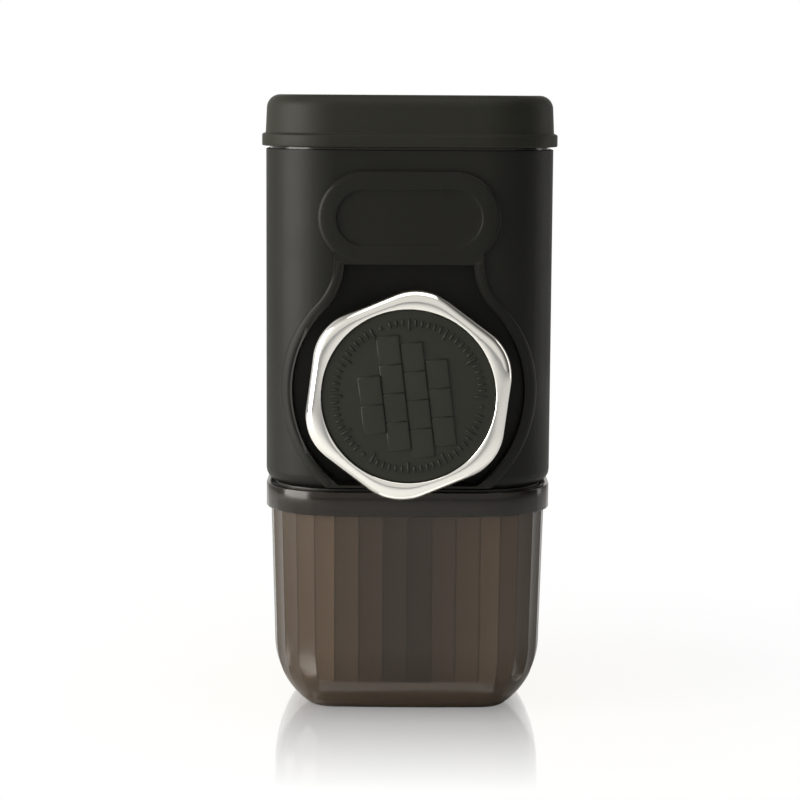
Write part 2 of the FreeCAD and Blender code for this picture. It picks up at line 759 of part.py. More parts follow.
def make_raised_front():
    """The plate and the bead, as deep as they stand proud of the wall that they follow."""
    outline = new_body("raised_outline")
    reach = half_depth + d.plate_rise
    bead_low = d.shell_bottom + d.bead_bottom
    front_pad(
        outline, "Bead", as_size(0), reach, draw_recess_outline,
        d.bead_width / 2, bead_low, plate_low + d.bead_width,
    )
    front_pad(
        outline, "Plate", as_size(0), reach, draw_stadium,
        d.plate_length, d.plate_height, d.plate_centre,
    )
    skin = new_body("raised_skin")
    plan_pad(
        skin, "Skin", -d.plate_rise, d.shell_bottom, d.shell_top, hollow=d.shell_wall / 2
    )
    return boolean("Part::Common", "raised_front", outline, skin)


def draw_tub(sketch):
    """The recess's outline from behind, in flats that stay outside the recess."""
    wall = d.shell_wall
    step = 24
    radius = (d.bead_radius - d.bead_width / 2 + wall) / cosine(step / 2)
    neck = d.bead_neck + wall
    side = [(radius * cosine(angle), d.pump_height + radius * sine(angle)) for angle in (-20, 4, 28)]
    foot_x = radius * cosine(-20)
    side = [(foot_x, d.shell_bottom)] + side + [(neck, plate_low + wall)]
    other = [(-x, z) for x, z in reversed(side)]
    draw_polygon(sketch, side + other)


def make_tub():
    """The recess's floor and walls inside the housing."""
    outline = new_body("tub_outline")
    front_pad(outline, "Tub", tub_back, half_depth, draw_tub)
    limit = new_body("tub_limit")
    plan_pad(limit, "Limit", d.shell_wall / 2, cavity_floor - d.shell_wall / 2, d.shell_top)
    plan_pad(limit, "Low_limit", d.shell_round, d.shell_bottom, cavity_floor)
    return boolean("Part::Common", "tub", outline, limit)


def make_recess_tool():
    """What is cut away in front: the recess, the sleeve's hole and the plate's sunk field."""
    body = new_body("recess_tool")
    reach = d.knob_face
    front_pad(
        body, "Recess", recess_floor, reach, draw_recess_outline,
        -d.bead_width / 2, d.shell_bottom + d.recess_lip, plate_low,
    )
    sleeve_hole = (d.sleeve_radius + d.sleeve_gap) / cosine(180 / WIDE_FLATS)
    middle = [(0, d.pump_height)]
    level_posts(body, middle, sleeve_hole, -reach, tub_back + d.shell_wall, WIDE_FLATS)
    front_pad(
        body, "Field", front - d.plate_rise + d.plate_sink, reach, draw_stadium,
        d.plate_length - 2 * d.plate_border, d.plate_height - 2 * d.plate_border, d.plate_centre,
    )
    return body


def make_housing_shell():
    """The housing shell as one moulding."""
    walls = doc.addObject("Part::MultiFuse", "shell_walls")
    walls.Shapes = [make_shell_block(), make_raised_front(), make_tub()]
    opened = boolean("Part::Cut", "shell_opened", walls, make_recess_tool())
    sockets = new_body("lock_screw_holes", z=d.pump_height)
    depth = d.shell_wall * 0.7
    level_posts(sockets, LOCK_SCREWS, d.screw_radius, tub_back - depth, tub_back + 1)
    return boolean("Part::Cut", "housing_shell", opened, sockets)


# Water tank: hangs from the housing's ledge, with a spout at its rear

def make_water_tank():
    """An open tank, stepped back over the knob recess."""
    body = new_body("water_tank")
    plan_pad(body, "Trunk", tank_inset, d.tank_floor, mouth_top)
    plan_pad(body, "Rest", d.tank_flange, d.shell_top, lid_low)
    step = new_sketch(body, "Step", offset=d.tank_step)
    draw_rectangle(step, -d.body_width, d.body_width, -d.body_depth, tank_front)
    pocket(body, step, d.tank_step - d.tank_floor)
    inner = tank_inset + d.tank_wall
    plan_pocket(body, "Room", inner, d.tank_step + d.tank_wall, mouth_top)
    low = new_body("tank_low_room")
    plan_pad(low, "Low_room", inner, d.tank_floor + d.tank_wall, d.tank_step + 2 * d.tank_wall)
    cut = new_sketch(low, "Low_front", offset=d.tank_step + 2 * d.tank_wall)
    draw_rectangle(cut, -d.body_width, d.body_width, -d.body_depth, tank_front + d.tank_wall)
    pocket(low, cut, d.tank_step)
    seat = [(0, d.port_y)]
    posts(body, seat, d.tube_radius, spout_tip, d.tank_floor + d.tank_wall, ROUND_FLATS)
    tank = boolean("Part::Cut", "tank_hollow", body, low)
    bore = new_body("spout_bore")
    posts(bore, seat, d.spout_bore, spout_tip - 1, d.tank_floor + 2 * d.tank_wall)
    return boolean("Part::Cut", "water_tank_moulding", tank, bore)


def make_tank_strainer():
    """A small slotted dome over the spout."""
    low = d.tank_floor + d.tank_wall
    top = low + d.strainer_height
    inner = d.strainer_radius - d.strainer_wall
    body = new_body("tank_strainer", 0, d.port_y)
    middle = [(0, 0)]
    posts(body, middle, d.strainer_radius, low, top, ROUND_FLATS)
    holes(body, middle, inner, low, top - d.strainer_wall, ROUND_FLATS)
    round_holes(body, d.strainer_radius * 0.55, 0, 4, d.screen_hole, low, top)
    return body


def make_base_plate():
    """Closes the housing from below, with the spigot that the cup pushes onto."""
    body = new_body("base_blank")
    plan_pad(body, "Floor", spigot_inset, base_underside, d.shell_bottom)
    inner = spigot_inset + d.spigot_wall
    plan_pad(body, "Spigot", spigot_inset, spigot_low, base_underside, hollow=inner)
    groove_low = spigot_low + d.groove_edge
    groove = new_sketch(body, "Seal_groove", offset=groove_low + d.groove_height)
    draw_plan(groove, as_size(0))
    draw_plan(groove, spigot_inset + d.groove_depth)
    pocket(body, groove, d.groove_height)
    drills = new_body("base_drills")
    low = base_underside - 1
    high = d.shell_bottom + 1
    posts(drills, BASE_SCREWS, d.screw_radius + d.screw_gap, low, high)
    posts(drills, PUMP_SCREWS + HEAD_SCREWS, d.screw_radius, low, high)
    posts(drills, [(0, d.port_y)], d.tube_radius + d.tube_gap, low, high, ROUND_FLATS)
    return boolean("Part::Cut", "base_plate", body, drills)


def make_cup_seal():
    """A soft band in the spigot's groove that grips the cup."""
    body = new_body("cup_seal")
    low = spigot_low + d.groove_edge
    inner = spigot_inset + d.groove_depth
    plan_pad(
        body, "Band", d.cup_wall + d.rod_fit, low, low + d.groove_height, hollow=inner
    )
    return body


# Pump: a level cylinder with its cap, piston, valves and return spring

def make_lock_ring():
    """A ring behind the recess floor with two lugs that run in the knob sleeve's track."""
    body = new_body("lock_ring", z=d.pump_height)
    rear = tub_back + d.lock_ring_height
    bore = (d.sleeve_radius + d.sleeve_gap) / cosine(180 / WIDE_FLATS)
    lug = new_sketch(body, "Lug", "XZ_Plane", offset=-rear)
    draw_sector(lug, d.lug_tip, bore + d.sleeve_gap, as_size(90), d.lug_angle / 2)
    middle = [(0, 0)]
    level_posts(body, middle, d.lock_ring_radius, tub_back, rear, WIDE_FLATS)
    level_holes(body, middle, bore, tub_back, rear, WIDE_FLATS)
    lug_pad = pad(body, lug, d.lock_ring_height)
    pattern_round(body, [lug_pad], "Y_Axis", 2)
    level_holes(body, LOCK_SCREWS, d.screw_radius + d.screw_gap, tub_back, rear)
    return body


def make_pump_cylinder():
    """The pressure cylinder with its square rear flange and its foot."""
    body = new_body("pump_cylinder", z=d.pump_height)
    middle = [(0, 0)]
    flange_front = d.pump_rear - d.pump_flange
    half = d.block_wing / 2
    foot_front = flange_front - d.foot_depth + d.pump_flange
    drop = d.pump_height - d.shell_bottom
    level_posts(body, middle, cylinder_radius, cylinder_mouth, d.pump_rear, ROUND_FLATS)
    level_block(body, "Flange", -half, half, -half, half, flange_front, d.pump_rear)
    foot = new_sketch(body, "Foot", "XY_Plane", offset=-drop)
    draw_rectangle(foot, -d.foot_width / 2, d.foot_width / 2, foot_front, d.pump_rear)
    pad(body, foot, drop - d.pump_bore)
    ears = new_sketch(body, "Ears", "XY_Plane", offset=-drop)
    draw_rectangle(ears, -d.ear_width / 2, d.ear_width / 2, foot_front, d.pump_rear)
    pad(body, ears, d.ear_height)
    bore = new_sketch(body, "Bore", "XZ_Plane", offset=-cylinder_mouth)
    draw_circle(bore, 0, 0, d.pump_bore)
    pocket(body, bore, cylinder_floor - cylinder_mouth)
    level_holes(body, middle, d.pump_port, cylinder_floor, d.pump_rear)
    holes(body, PUMP_SCREWS, d.screw_radius + d.screw_gap, -drop, d.ear_height - drop)
    level_holes(body, WING_SCREWS, d.screw_radius, flange_front, d.pump_rear)
    return body


def make_cylinder_cap():
    """Closes the cylinder's front, guides the rod and carries the spring."""
    body = new_body("cylinder_cap", z=d.pump_height)
    level_posts(body, [(0, 0)], d.cap_radius, cap_front, cylinder_mouth, ROUND_FLATS)
    guide = new_sketch(body, "Guide", "XZ_Plane", offset=-cap_front)
    draw_circle(guide, 0, 0, d.rod_radius + d.rod_fit)
    pocket(body, guide, d.cap_thickness)
    return body


def make_valve_block():
    """A column behind the cylinder with the inlet above, the outlet below and a plate to bolt."""
    body = new_body("valve_block", z=d.pump_height)
    low = d.block_bottom - d.pump_height
    high = block_top - d.pump_height
    half = d.block_width / 2
    wing = d.block_wing / 2
    level_block(body, "Column", -half, half, low, high, d.pump_rear, block_rear)
    level_block(
        body, "Wings", -wing, wing, -wing, wing, d.pump_rear, d.pump_rear + d.wing_thickness
    )
    seat = [(0, d.port_y)]
    way = d.tube_radius + d.tube_gap
    chamber_low = d.chamber_low - d.pump_height
    chamber_high = d.chamber_high - d.pump_height
    holes(body, seat, way, chamber_high, high, ROUND_FLATS)
    holes(body, seat, d.chamber_radius, chamber_low, chamber_high)
    holes(body, seat, way, low, chamber_low, ROUND_FLATS)
    level_holes(body, [(0, 0)], d.pump_port, d.pump_rear, d.port_y)
    wing_rear = d.pump_rear + d.wing_thickness
    level_holes(body, WING_SCREWS, d.screw_radius + d.screw_gap, d.pump_rear, wing_rear)
    return body


def make_valve(label, shoulder):
    """A one-way valve: a flange against its shoulder and a bill with a slot that points down."""
    body = new_body(label, 0, d.port_y)
    middle = [(0, 0)]
    tip = shoulder - d.valve_bill
    slot = d.valve_radius / 2
    posts(body, middle, d.tube_radius, shoulder, shoulder + d.valve_flange, ROUND_FLATS)
    posts(body, middle, d.valve_radius, tip, shoulder)
    holes(body, middle, slot, tip + slot, shoulder + d.valve_flange)
    return body


def make_piston_rod():
    """The rod, with a collar that the knob turns on and a bore for its end screw."""
    seat = piston_rear - d.screw_head_height - d.tube_gap
    tail = seat - d.piston_length / 4
    screw_end = tail - 3 * d.screw_head_height
    body = new_body("piston_rod", z=d.pump_height)
    middle = [(0, 0)]
    shank = new_sketch(body, "Shank", "XZ_Plane", offset=-tail)
    draw_circle(shank, 0, 0, d.rod_radius)
    pad(body, shank, tail - rod_front)
    level_posts(body, middle, d.rod_head, rod_front, rod_front + d.rod_collar, ROUND_FLATS)
    level_holes(body, middle, d.screw_radius, screw_end, tail)
    return body


def make_piston_head():
    """A short piston with a seal groove, screwed to the rod's end."""
    seat = piston_rear - d.screw_head_height - d.tube_gap
    tail = seat - d.piston_length / 4
    groove_front = (piston_front + piston_rear - d.seal_width) / 2
    groove_rear = groove_front + d.seal_width
    radius = d.pump_bore - d.piston_gap
    body = new_body("piston_head", z=d.pump_height)
    middle = [(0, 0)]
    level_posts(body, middle, radius, piston_front, groove_front, ROUND_FLATS)
    groove = d.pump_bore - d.seal_depth
    level_posts(body, middle, groove, groove_front, groove_rear, ROUND_FLATS)
    level_posts(body, middle, radius, groove_rear, piston_rear, ROUND_FLATS)
    level_holes(body, middle, d.rod_radius / cosine(180 / ROUND_FLATS), piston_front, tail, ROUND_FLATS)
    level_holes(body, middle, d.screw_radius, tail, seat)
    level_holes(body, middle, d.screw_head + d.screw_gap, seat, piston_rear)
    return body


def make_piston_seal():
    """A soft ring in the piston's groove."""
    groove_front = (piston_front + piston_rear - d.seal_width) / 2
    body = new_body("piston_seal", z=d.pump_height)
    groove_rear = groove_front + d.seal_width
    lip = d.pump_bore - d.seal_fit
    level_posts(body, [(0, 0)], lip, groove_front, groove_rear, WIDE_FLATS)
    groove = d.pump_bore - d.seal_depth
    level_holes(body, [(0, 0)], groove, groove_front, groove_rear, ROUND_FLATS)
    return body


def make_rod_screw():
    """Holds the piston head on the rod."""
    seat = piston_rear - d.screw_head_height - d.tube_gap
    tail = seat - d.piston_length / 4
    return level_screws(
        "rod_screw", [(0, 0)], seat, tail - 3 * d.screw_head_height
    )


def make_return_spring():
    """The space that the wound spring fills, between the cylinder cap and the knob."""
    inner = d.spring_radius - d.spring_wire
    return level_ring("return_spring", inner, d.spring_radius, sleeve_floor_rear, cap_front)


# Knob: a plated ring with a soft disc in it, screwed to a sleeve that turns on the rod

def hexagon_wire(flat, corner, depth):
    """A six-sided outline with round corners, at one depth, about the pump's axis."""
    turn = d.knob_turn.value
    centre_radius = (flat - corner) / math.cos(math.radians(30))
    edges = []
    ends = []
    for side in range(6):
        middle = math.radians(turn + 60 * side)
        centre_x = centre_radius * math.cos(middle)
        centre_z = centre_radius * math.sin(middle)
        points = []
        for swing in (-30, 0, 30):
            angle = middle + math.radians(swing)
            x = centre_x + corner * math.cos(angle)
            z = centre_z + corner * math.sin(angle)
            points.append(FreeCAD.Vector(x, depth, z + d.pump_height.value))
        edges.append(Part.Arc(*points).toShape())
        ends.append((points[0], points[2]))
    sides = []
    for side in range(6):
        sides.append(edges[side])
        start = ends[side][1]
        stop = ends[(side + 1) % 6][0]
        sides.append(Part.LineSegment(start, stop).toShape())
    return Part.Wire(sides)


def make_knob_ring():
    """The plated six-sided ring: a bevelled face, and pockets front and rear."""
    flat = d.knob_flat.value
    corner = d.knob_corner.value
    bevel = d.knob_bevel.value
    face = knob_front.value
    widest = face + d.knob_bevel_depth.value
    rear = knob_rear.value
    rings = [
        hexagon_wire(flat - bevel, corner - bevel, face),
        hexagon_wire(flat, corner, widest),
        hexagon_wire(flat, corner, rear),
    ]
    outer = doc.addObject("Part::Feature", "knob_outer")
    outer.Shape = Part.makeLoft(rings[:2], True, True).fuse(Part.makeLoft(rings[1:], True, True))
    inner = new_body("knob_pockets", z=d.pump_height)
    reach = d.knob_height
    middle = [(0, 0)]
    disc_pocket = d.disc_radius + d.rod_fit
    level_posts(inner, middle, disc_pocket, web_front - reach, web_front, FACE_FLATS)
    level_posts(inner, middle, d.web_hole, web_front, web_rear, ROUND_FLATS)
    pocket_radius = (d.sleeve_flange + d.tube_gap) / cosine(180 / WIDE_FLATS)
    level_posts(inner, middle, pocket_radius, web_rear, knob_front + 2 * reach, WIDE_FLATS)
    level_posts(inner, KNOB_SCREWS, d.screw_radius, web_front + d.tube_gap, web_rear)
    return boolean("Part::Cut", "knob_ring", outer, inner)


def make_knob_disc():
    """The soft inset disc."""
    body = new_body("knob_disc", z=d.pump_height)
    level_posts(body, [(0, 0)], d.disc_radius, disc_front, web_front, FACE_FLATS)
    return body


def make_knob_sleeve():
    """The sleeve that guides the knob: a flange, a long tube and the L-shaped lock track."""
    body = new_body("knob_sleeve", z=d.pump_height)
    middle = [(0, 0)]
    level_posts(body, middle, d.sleeve_flange, web_rear, sleeve_floor_rear, WIDE_FLATS)
    level_posts(body, middle, d.sleeve_radius, sleeve_floor_rear, d.sleeve_rear, WIDE_FLATS)
    level_holes(body, middle, d.sleeve_bore, sleeve_floor_rear, d.sleeve_rear, ROUND_FLATS)
    hub = new_sketch(body, "Hub", "XZ_Plane", offset=-web_rear)
    draw_circle(hub, 0, 0, d.rod_radius + d.rod_fit)
    pocket(body, hub, d.sleeve_floor)
    lug_front = tub_back - d.fit_gap
    lug_rear = tub_back + d.lock_ring_height + d.fit_gap
    outer = d.sleeve_radius + d.sleeve_gap
    slot = new_sketch(body, "Slot", "XZ_Plane", offset=-lug_front)
    draw_sector(slot, d.track_floor, outer, as_size(90), d.track_angle / 2)
    slot_cut = pocket(body, slot, d.lock_ring_height + d.stroke + 2 * d.fit_gap)
    corner = new_sketch(body, "Corner", "XZ_Plane", offset=-lug_front)
    centre = 90 + d.lock_angle / 2
    draw_sector(corner, d.track_floor, outer, centre, (d.lock_angle + d.track_angle) / 2)
    corner_cut = pocket(body, corner, lug_rear - lug_front)
    pattern_round(body, [slot_cut, corner_cut], "Y_Axis", 2)
    level_holes(body, KNOB_SCREWS, d.screw_radius + d.screw_gap, web_rear, sleeve_floor_rear)
    return body


# Brewing group: group head, screen, gasket, basket, brew cap and nozzle

def make_group_head():
    """The head that carries hot water from the pump to the coffee."""
    body = new_body("group_head")
    middle = [(0, 0)]
    posts(body, middle, d.head_radius, head_low, base_underside, WIDE_FLATS)
    posts(body, middle, d.neck_radius, neck_low, head_low, WIDE_FLATS)
    holes(body, middle, d.neck_bore, neck_low, plenum_top, WIDE_FLATS)
    lug = new_sketch(body, "Lug", offset=bayonet_low)
    inside = d.neck_radius - d.bayonet_rise / 2
    draw_sector(lug, inside, bayonet_radius, as_size(90), d.bayonet_angle / 2)
    lug_pad = pad(body, lug, d.bayonet_height)
    pattern_round(body, [lug_pad], "Z_Axis", 3)
    seat = [(0, d.port_y)]
    level = base_underside - d.head_thickness / 2
    valve_room = inlet_tip - d.valve_bill - d.valve_flange / 2
    posts(body, seat, d.tube_radius, base_underside - 1, inlet_tip, ROUND_FLATS)
    holes(body, seat, d.inlet_bore, valve_room, inlet_tip)
    holes(body, seat, d.way_radius, level, valve_room)
    holes(body, [(0, d.way_y)], d.way_radius, plenum_top, level)
    level_holes(body, [(0, level)], d.way_radius * 0.9, d.way_y, d.port_y)
    holes(body, HEAD_SCREWS, d.screw_radius + d.screw_gap, head_low, base_underside)
    holes(body, middle, d.screw_radius, plenum_top, plenum_top + 2 * d.screw_head_height)
    return body


def make_dispersion_screen():
    """A steel shower disc under the head, held off the ceiling by its boss."""
    top = plenum_top - d.screen_standoff
    low = top - d.screen_thickness
    body = new_body("dispersion_screen")
    middle = [(0, 0)]
    posts(body, middle, d.screen_radius, low, top, WIDE_FLATS)
    posts(body, middle, d.screw_head, top, plenum_top)
    holes(body, middle, d.screw_radius + d.screw_gap, low, plenum_top)
    round_holes(body, d.screen_radius * 0.7, 15, 12, d.screen_hole, low, top)
    return body


def make_group_gasket():
    """A soft ring between the neck and the basket's rim."""
    return ring("group_gasket", d.gasket_bore, d.neck_radius, gasket_low, neck_low)


def make_filter_basket():
    """A steel basket with a perforated floor and a flat rim."""
    inner = d.basket_radius - d.basket_wall
    floor_top = basket_low + d.basket_wall
    body = new_body("filter_basket")
    middle = [(0, 0)]
    posts(body, middle, d.basket_radius, basket_low, gasket_low, WIDE_FLATS)
    posts(body, middle, d.basket_rim, rim_low, gasket_low, WIDE_FLATS)
    holes(body, middle, inner, floor_top, gasket_low, WIDE_FLATS)
    round_holes(body, d.basket_radius * 0.7, 15, 12, d.screen_hole, basket_low, floor_top)
    return body


def make_brew_cap():
    """The bayonet cap that holds the basket against the head, with a notched grip."""
    waist = basket_room + d.cap_wall
    shoulder = cap_top - d.cap_grip
    lug_floor = bayonet_high + d.fit_gap
    body = new_body("brew_cap")
    middle = [(0, 0)]
    posts(body, middle, waist, cap_low, cap_top, WIDE_FLATS)
    posts(body, middle, cap_radius_out, shoulder, cap_top, WIDE_FLATS)
    holes(body, middle, basket_room, cap_inner_floor, cap_top, WIDE_FLATS)
    holes(body, middle, cap_bore, rim_low, cap_top, WIDE_FLATS)
    holes(body, middle, d.nozzle_radius, cap_low, cap_inner_floor, ROUND_FLATS)
    lug = new_sketch(body, "Lug", offset=lug_floor)
    inside = d.neck_radius + d.bayonet_gap
    draw_sector(lug, inside, cap_bore + d.cap_wall / 2, as_size(90), d.bayonet_angle / 2)
    lug_pad = pad(body, lug, cap_top - lug_floor)
    pattern_round(body, [lug_pad], "Z_Axis", 3)
    notch_low = shoulder + d.cap_wall
    notch_reach = cap_radius_out + d.flute_radius / 2
    round_holes(body, notch_reach, 0, 12, d.flute_radius, notch_low, cap_top)
    return body


def make_spout_nozzle():
    """The spout that the coffee leaves by, pressed into the brew cap."""
    low = cap_low - d.nozzle_length
    flange = cap_low - d.cap_floor / 2
    neck = d.nozzle_radius - d.screw_gap
    body = new_body("spout_nozzle")
    middle = [(0, 0)]
    posts(body, middle, d.nozzle_bore + d.strainer_wall, low, flange, ROUND_FLATS)
    posts(body, middle, d.nozzle_flange, flange, cap_low, ROUND_FLATS)
    posts(body, middle, neck, cap_low, cap_inner_floor, ROUND_FLATS)
    holes(body, middle, d.nozzle_bore, low, cap_inner_floor, ROUND_FLATS)
    return body


# Lid: a draft-sided cover with a grip rim, and the seal inside it

def make_lid_cover():
    """The lid with its rounded top and hollow skirt."""
    body = new_body("lid_cover")
    lidded_plan(body, -d.lid_rise, lid_low, lid_high, d.lid_round)
    rim_top = lid_low + d.rim_height
    plan_pad(body, "Rim", -d.rim_rise, lid_low, rim_top, draw=draw_smooth_plan)
    plan_pocket(body, "Inside", lid_inset, lid_low, lid_ceiling)
    return body


def make_lid_seal():
    """A flat seal between the lid and the tank's mouth."""
    body = new_body("lid_seal")
    outer = tank_inset - d.fit_gap
    plan_pad(body, "Seal", outer, mouth_top, lid_ceiling, hollow=outer + d.lid_seal_width)
    return body


# Cup: a clear moulding with a smooth collar, upright facets and a rounded foot

def facet_corners(inset, level):
    """Corners of the cup's many-sided outline at one level."""
    corner_facets = 5
    crown = d.facet_crown.value
    centre_x = (d.body_width / 2 - d.corner_radius).value
    centre_y = (d.body_depth / 2 - d.corner_radius).value
    radius = d.corner_radius.value - inset - crown
    corners = []
    sides = [(1, 1, 6, centre_x), (-1, 1, 4, centre_y), (-1, -1, 6, centre_x), (1, -1, 4, centre_y)]
    for quarter, (side_x, side_y, flat_facets, half) in enumerate(sides):
        for step in range(corner_facets + 1):
            angle = math.radians(90 * quarter + 90 * step / corner_facets)
            x = side_x * centre_x + radius * math.cos(angle)
            y = side_y * centre_y + radius * math.sin(angle)
            corners.append(FreeCAD.Vector(x, y, level))
        reach = (centre_y if quarter % 2 == 0 else centre_x) + radius
        turn = FreeCAD.Rotation(FreeCAD.Vector(0, 0, 1), 90 * quarter)
        for step in range(1, flat_facets):
            share = 1 - 2 * step / flat_facets
            bow = crown * (1 - share * share)
            point = turn.multVec(FreeCAD.Vector(half * share, reach + bow, 0))
            corners.append(FreeCAD.Vector(point.x, point.y, level))
    return corners


def faceted_solid(levels):
    """A closed solid of flat facets through the outlines at several insets and levels."""
    rings = [facet_corners(inset, level) for inset, level in levels]
    outlines = [ring + ring[:1] for ring in rings]
    faces = [Part.Face(Part.makePolygon(outline)) for outline in (outlines[0], outlines[-1])]
    for lower, upper in zip(outlines, outlines[1:]):
        for step in range(len(lower) - 1):
            quad = [lower[step], lower[step + 1], upper[step + 1], upper[step], lower[step]]
            faces.append(Part.Face(Part.makePolygon(quad)))
    solid = Part.Solid(Part.Shell(faces))
    solid.fix(1e-6, 1e-6, 1e-6)
    return solid


def cup_levels(wall, floor, steps):
    """Insets and levels from the foot, round its bend and up the leaning side."""
    collar = collar_low.value
    bend = d.cup_round_top.value
    radius = d.cup_round.value - wall
    side_inset = d.cup_step.value + wall
    bend_inset = side_inset + math.tan(math.radians(d.cup_draft.value)) * (collar - bend)
    sweep = math.asin((bend - floor) / radius)
    levels = []
    for step in range(steps + 1):
        angle = sweep * (1 - step / steps)
        inset = bend_inset + radius * (1 - math.cos(angle))
        levels.append((inset, bend - radius * math.sin(angle)))
    levels.append((side_inset, collar))
    return levels


def make_cup():
    """The cup: facets up to a smooth collar, hollow down to its floor."""
    outside = faceted_solid(cup_levels(0, 0, 5))
    inside = faceted_solid(cup_levels(d.cup_wall.value, d.cup_floor.value, 2))
    cup = doc.addObject("Part::Feature", "cup_bowl")
    cup.Shape = outside.cut(inside)
    collar = new_body("cup_collar")
    shelf = d.cup_wall + d.cup_step
    plan_pad(
        collar, "Collar", as_size(0), collar_low, cup_top, hollow=d.cup_wall, draw=draw_smooth_plan
    )
    plan_pad(collar, "Shelf", as_size(0), collar_low, spigot_low, hollow=shelf)
    return boolean("Part::Fuse", "cup", cup, collar)


# Build every piece, check it and write it

def make_all():
    """Every node of the espresso maker, by name."""
    return {
        "housing_shell": make_housing_shell(),
        "water_tank": make_water_tank(),
        "tank_strainer": make_tank_strainer(),
        "tank_port_seal": ring(
            "tank_port_seal",
            d.tube_radius + d.screw_gap,
            d.strainer_radius,
            block_top,
            d.tank_floor,
            d.port_y,
            ROUND_FLATS,
        ),
        "base_plate": make_base_plate(),
        "base_screws": upright_screws(
            "base_screws", BASE_SCREWS, base_underside, boss_hole_top - d.fit_gap, False
        ),
        "cup_seal": make_cup_seal(),
        "lock_ring": make_lock_ring(),
        "lock_ring_screws": level_screws(
            "lock_ring_screws",
            LOCK_SCREWS,
            tub_back + d.lock_ring_height,
            tub_back - d.shell_wall * 0.6,
        ),
        "pump_cylinder": make_pump_cylinder(),
        "cylinder_cap": make_cylinder_cap(),
        "pump_screws": upright_screws(
            "pump_screws",
            PUMP_SCREWS,
            d.shell_bottom + d.ear_height,
            base_underside + d.fit_gap,
            True,
        ),
        "valve_block": make_valve_block(),
        "valve_block_screws": level_screws(
            "valve_block_screws",
            WING_SCREWS,
            d.pump_rear + d.wing_thickness,
            d.pump_rear - d.pump_flange + d.fit_gap,
        ),
        "inlet_valve": make_valve("inlet_valve", d.chamber_high),
        "outlet_valve": make_valve("outlet_valve", inlet_tip + d.tube_gap),
        "group_head": make_group_head(),
        "head_screws": upright_screws(
            "head_screws", HEAD_SCREWS, head_low, d.shell_bottom - d.fit_gap, False
        ),
        "dispersion_screen": make_dispersion_screen(),
        "screen_screw": upright_screws(
            "screen_screw",
            [(0, 0)],
            plenum_top - d.screen_standoff - d.screen_thickness,
            plenum_top + d.screw_head_height,
            False,
        ),
        "group_gasket": make_group_gasket(),
        "return_spring": make_return_spring(),
        "lid_cover": make_lid_cover(),
        "lid_seal": make_lid_seal(),
        "piston_rod": make_piston_rod(),
        "piston_head": make_piston_head(),
        "piston_seal": make_piston_seal(),
        "rod_screw": make_rod_screw(),
        "knob_ring": make_knob_ring(),
        "knob_disc": make_knob_disc(),
        "knob_sleeve": make_knob_sleeve(),
        "knob_screws": level_screws(
            "knob_screws", KNOB_SCREWS, sleeve_floor_rear, web_front + d.fit_gap
        ),
        "brew_cap": make_brew_cap(),
        "filter_basket": make_filter_basket(),
        "spout_nozzle": make_spout_nozzle(),
        "cup": make_cup(),
    }


pieces = make_all()
doc.recompute()

for item in doc.Objects:
    troubles = [state for state in item.State if state in ("Invalid", "Error")]
    if troubles:
        raise RuntimeError(f"{item.Label} did not build: {troubles}")
for node, piece in pieces.items():
    if piece.Shape.isNull() or not piece.Shape.isValid():
        raise RuntimeError(f"{node} has no valid shape")

os.makedirs("parts", exist_ok=True)
for node, piece in pieces.items():
    piece.Shape.exportStep(f"parts/{node}.step")
    box = piece.Shape.BoundBox
    print(
        f"{node}: {len(piece.Shape.Solids)} solid, {piece.Shape.Volume:.0f} mm3,"
        f" z {box.ZMin:.1f} to {box.ZMax:.1f}"
    )
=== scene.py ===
# %% [markdown]
# A handheld manual espresso maker stands on a pale glossy table.
# From the top it has a push-on lid, a black housing with a plated twist knob in a round recess,
# and a smoked clear cup with upright facets.
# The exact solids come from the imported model; this lesson dresses them.

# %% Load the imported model
import json
import math

import bmesh
import bpy
from mathutils import Matrix, Vector

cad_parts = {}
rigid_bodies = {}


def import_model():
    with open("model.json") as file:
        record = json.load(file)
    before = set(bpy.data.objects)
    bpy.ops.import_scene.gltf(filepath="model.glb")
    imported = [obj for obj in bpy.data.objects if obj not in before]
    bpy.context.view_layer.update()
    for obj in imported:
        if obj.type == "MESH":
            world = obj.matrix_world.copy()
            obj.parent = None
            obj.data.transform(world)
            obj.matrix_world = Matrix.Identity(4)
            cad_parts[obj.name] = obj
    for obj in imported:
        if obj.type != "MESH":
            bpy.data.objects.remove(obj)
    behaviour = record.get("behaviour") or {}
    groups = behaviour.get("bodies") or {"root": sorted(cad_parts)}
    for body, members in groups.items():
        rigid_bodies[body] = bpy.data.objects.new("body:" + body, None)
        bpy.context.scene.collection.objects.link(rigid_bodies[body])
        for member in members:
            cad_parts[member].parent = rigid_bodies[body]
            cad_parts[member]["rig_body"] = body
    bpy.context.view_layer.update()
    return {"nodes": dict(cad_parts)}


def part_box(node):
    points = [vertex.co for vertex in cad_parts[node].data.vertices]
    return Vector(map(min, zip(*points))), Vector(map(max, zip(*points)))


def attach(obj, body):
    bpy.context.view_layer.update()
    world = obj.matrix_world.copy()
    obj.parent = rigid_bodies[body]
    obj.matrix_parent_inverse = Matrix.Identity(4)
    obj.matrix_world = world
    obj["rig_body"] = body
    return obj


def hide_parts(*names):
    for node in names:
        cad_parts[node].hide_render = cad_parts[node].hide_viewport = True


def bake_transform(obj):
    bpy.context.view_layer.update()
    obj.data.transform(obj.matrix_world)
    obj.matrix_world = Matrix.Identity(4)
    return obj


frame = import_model()
nodes = frame["nodes"]

# %% [markdown]
# The camera comes first, so that every later piece can be judged through it.
# A long lens of 104 mm on a 36 mm sensor fits the nearly parallel sides in the photograph.
# It stands 64 cm away, level with the lid's top, and looks down by 7.5 degrees.

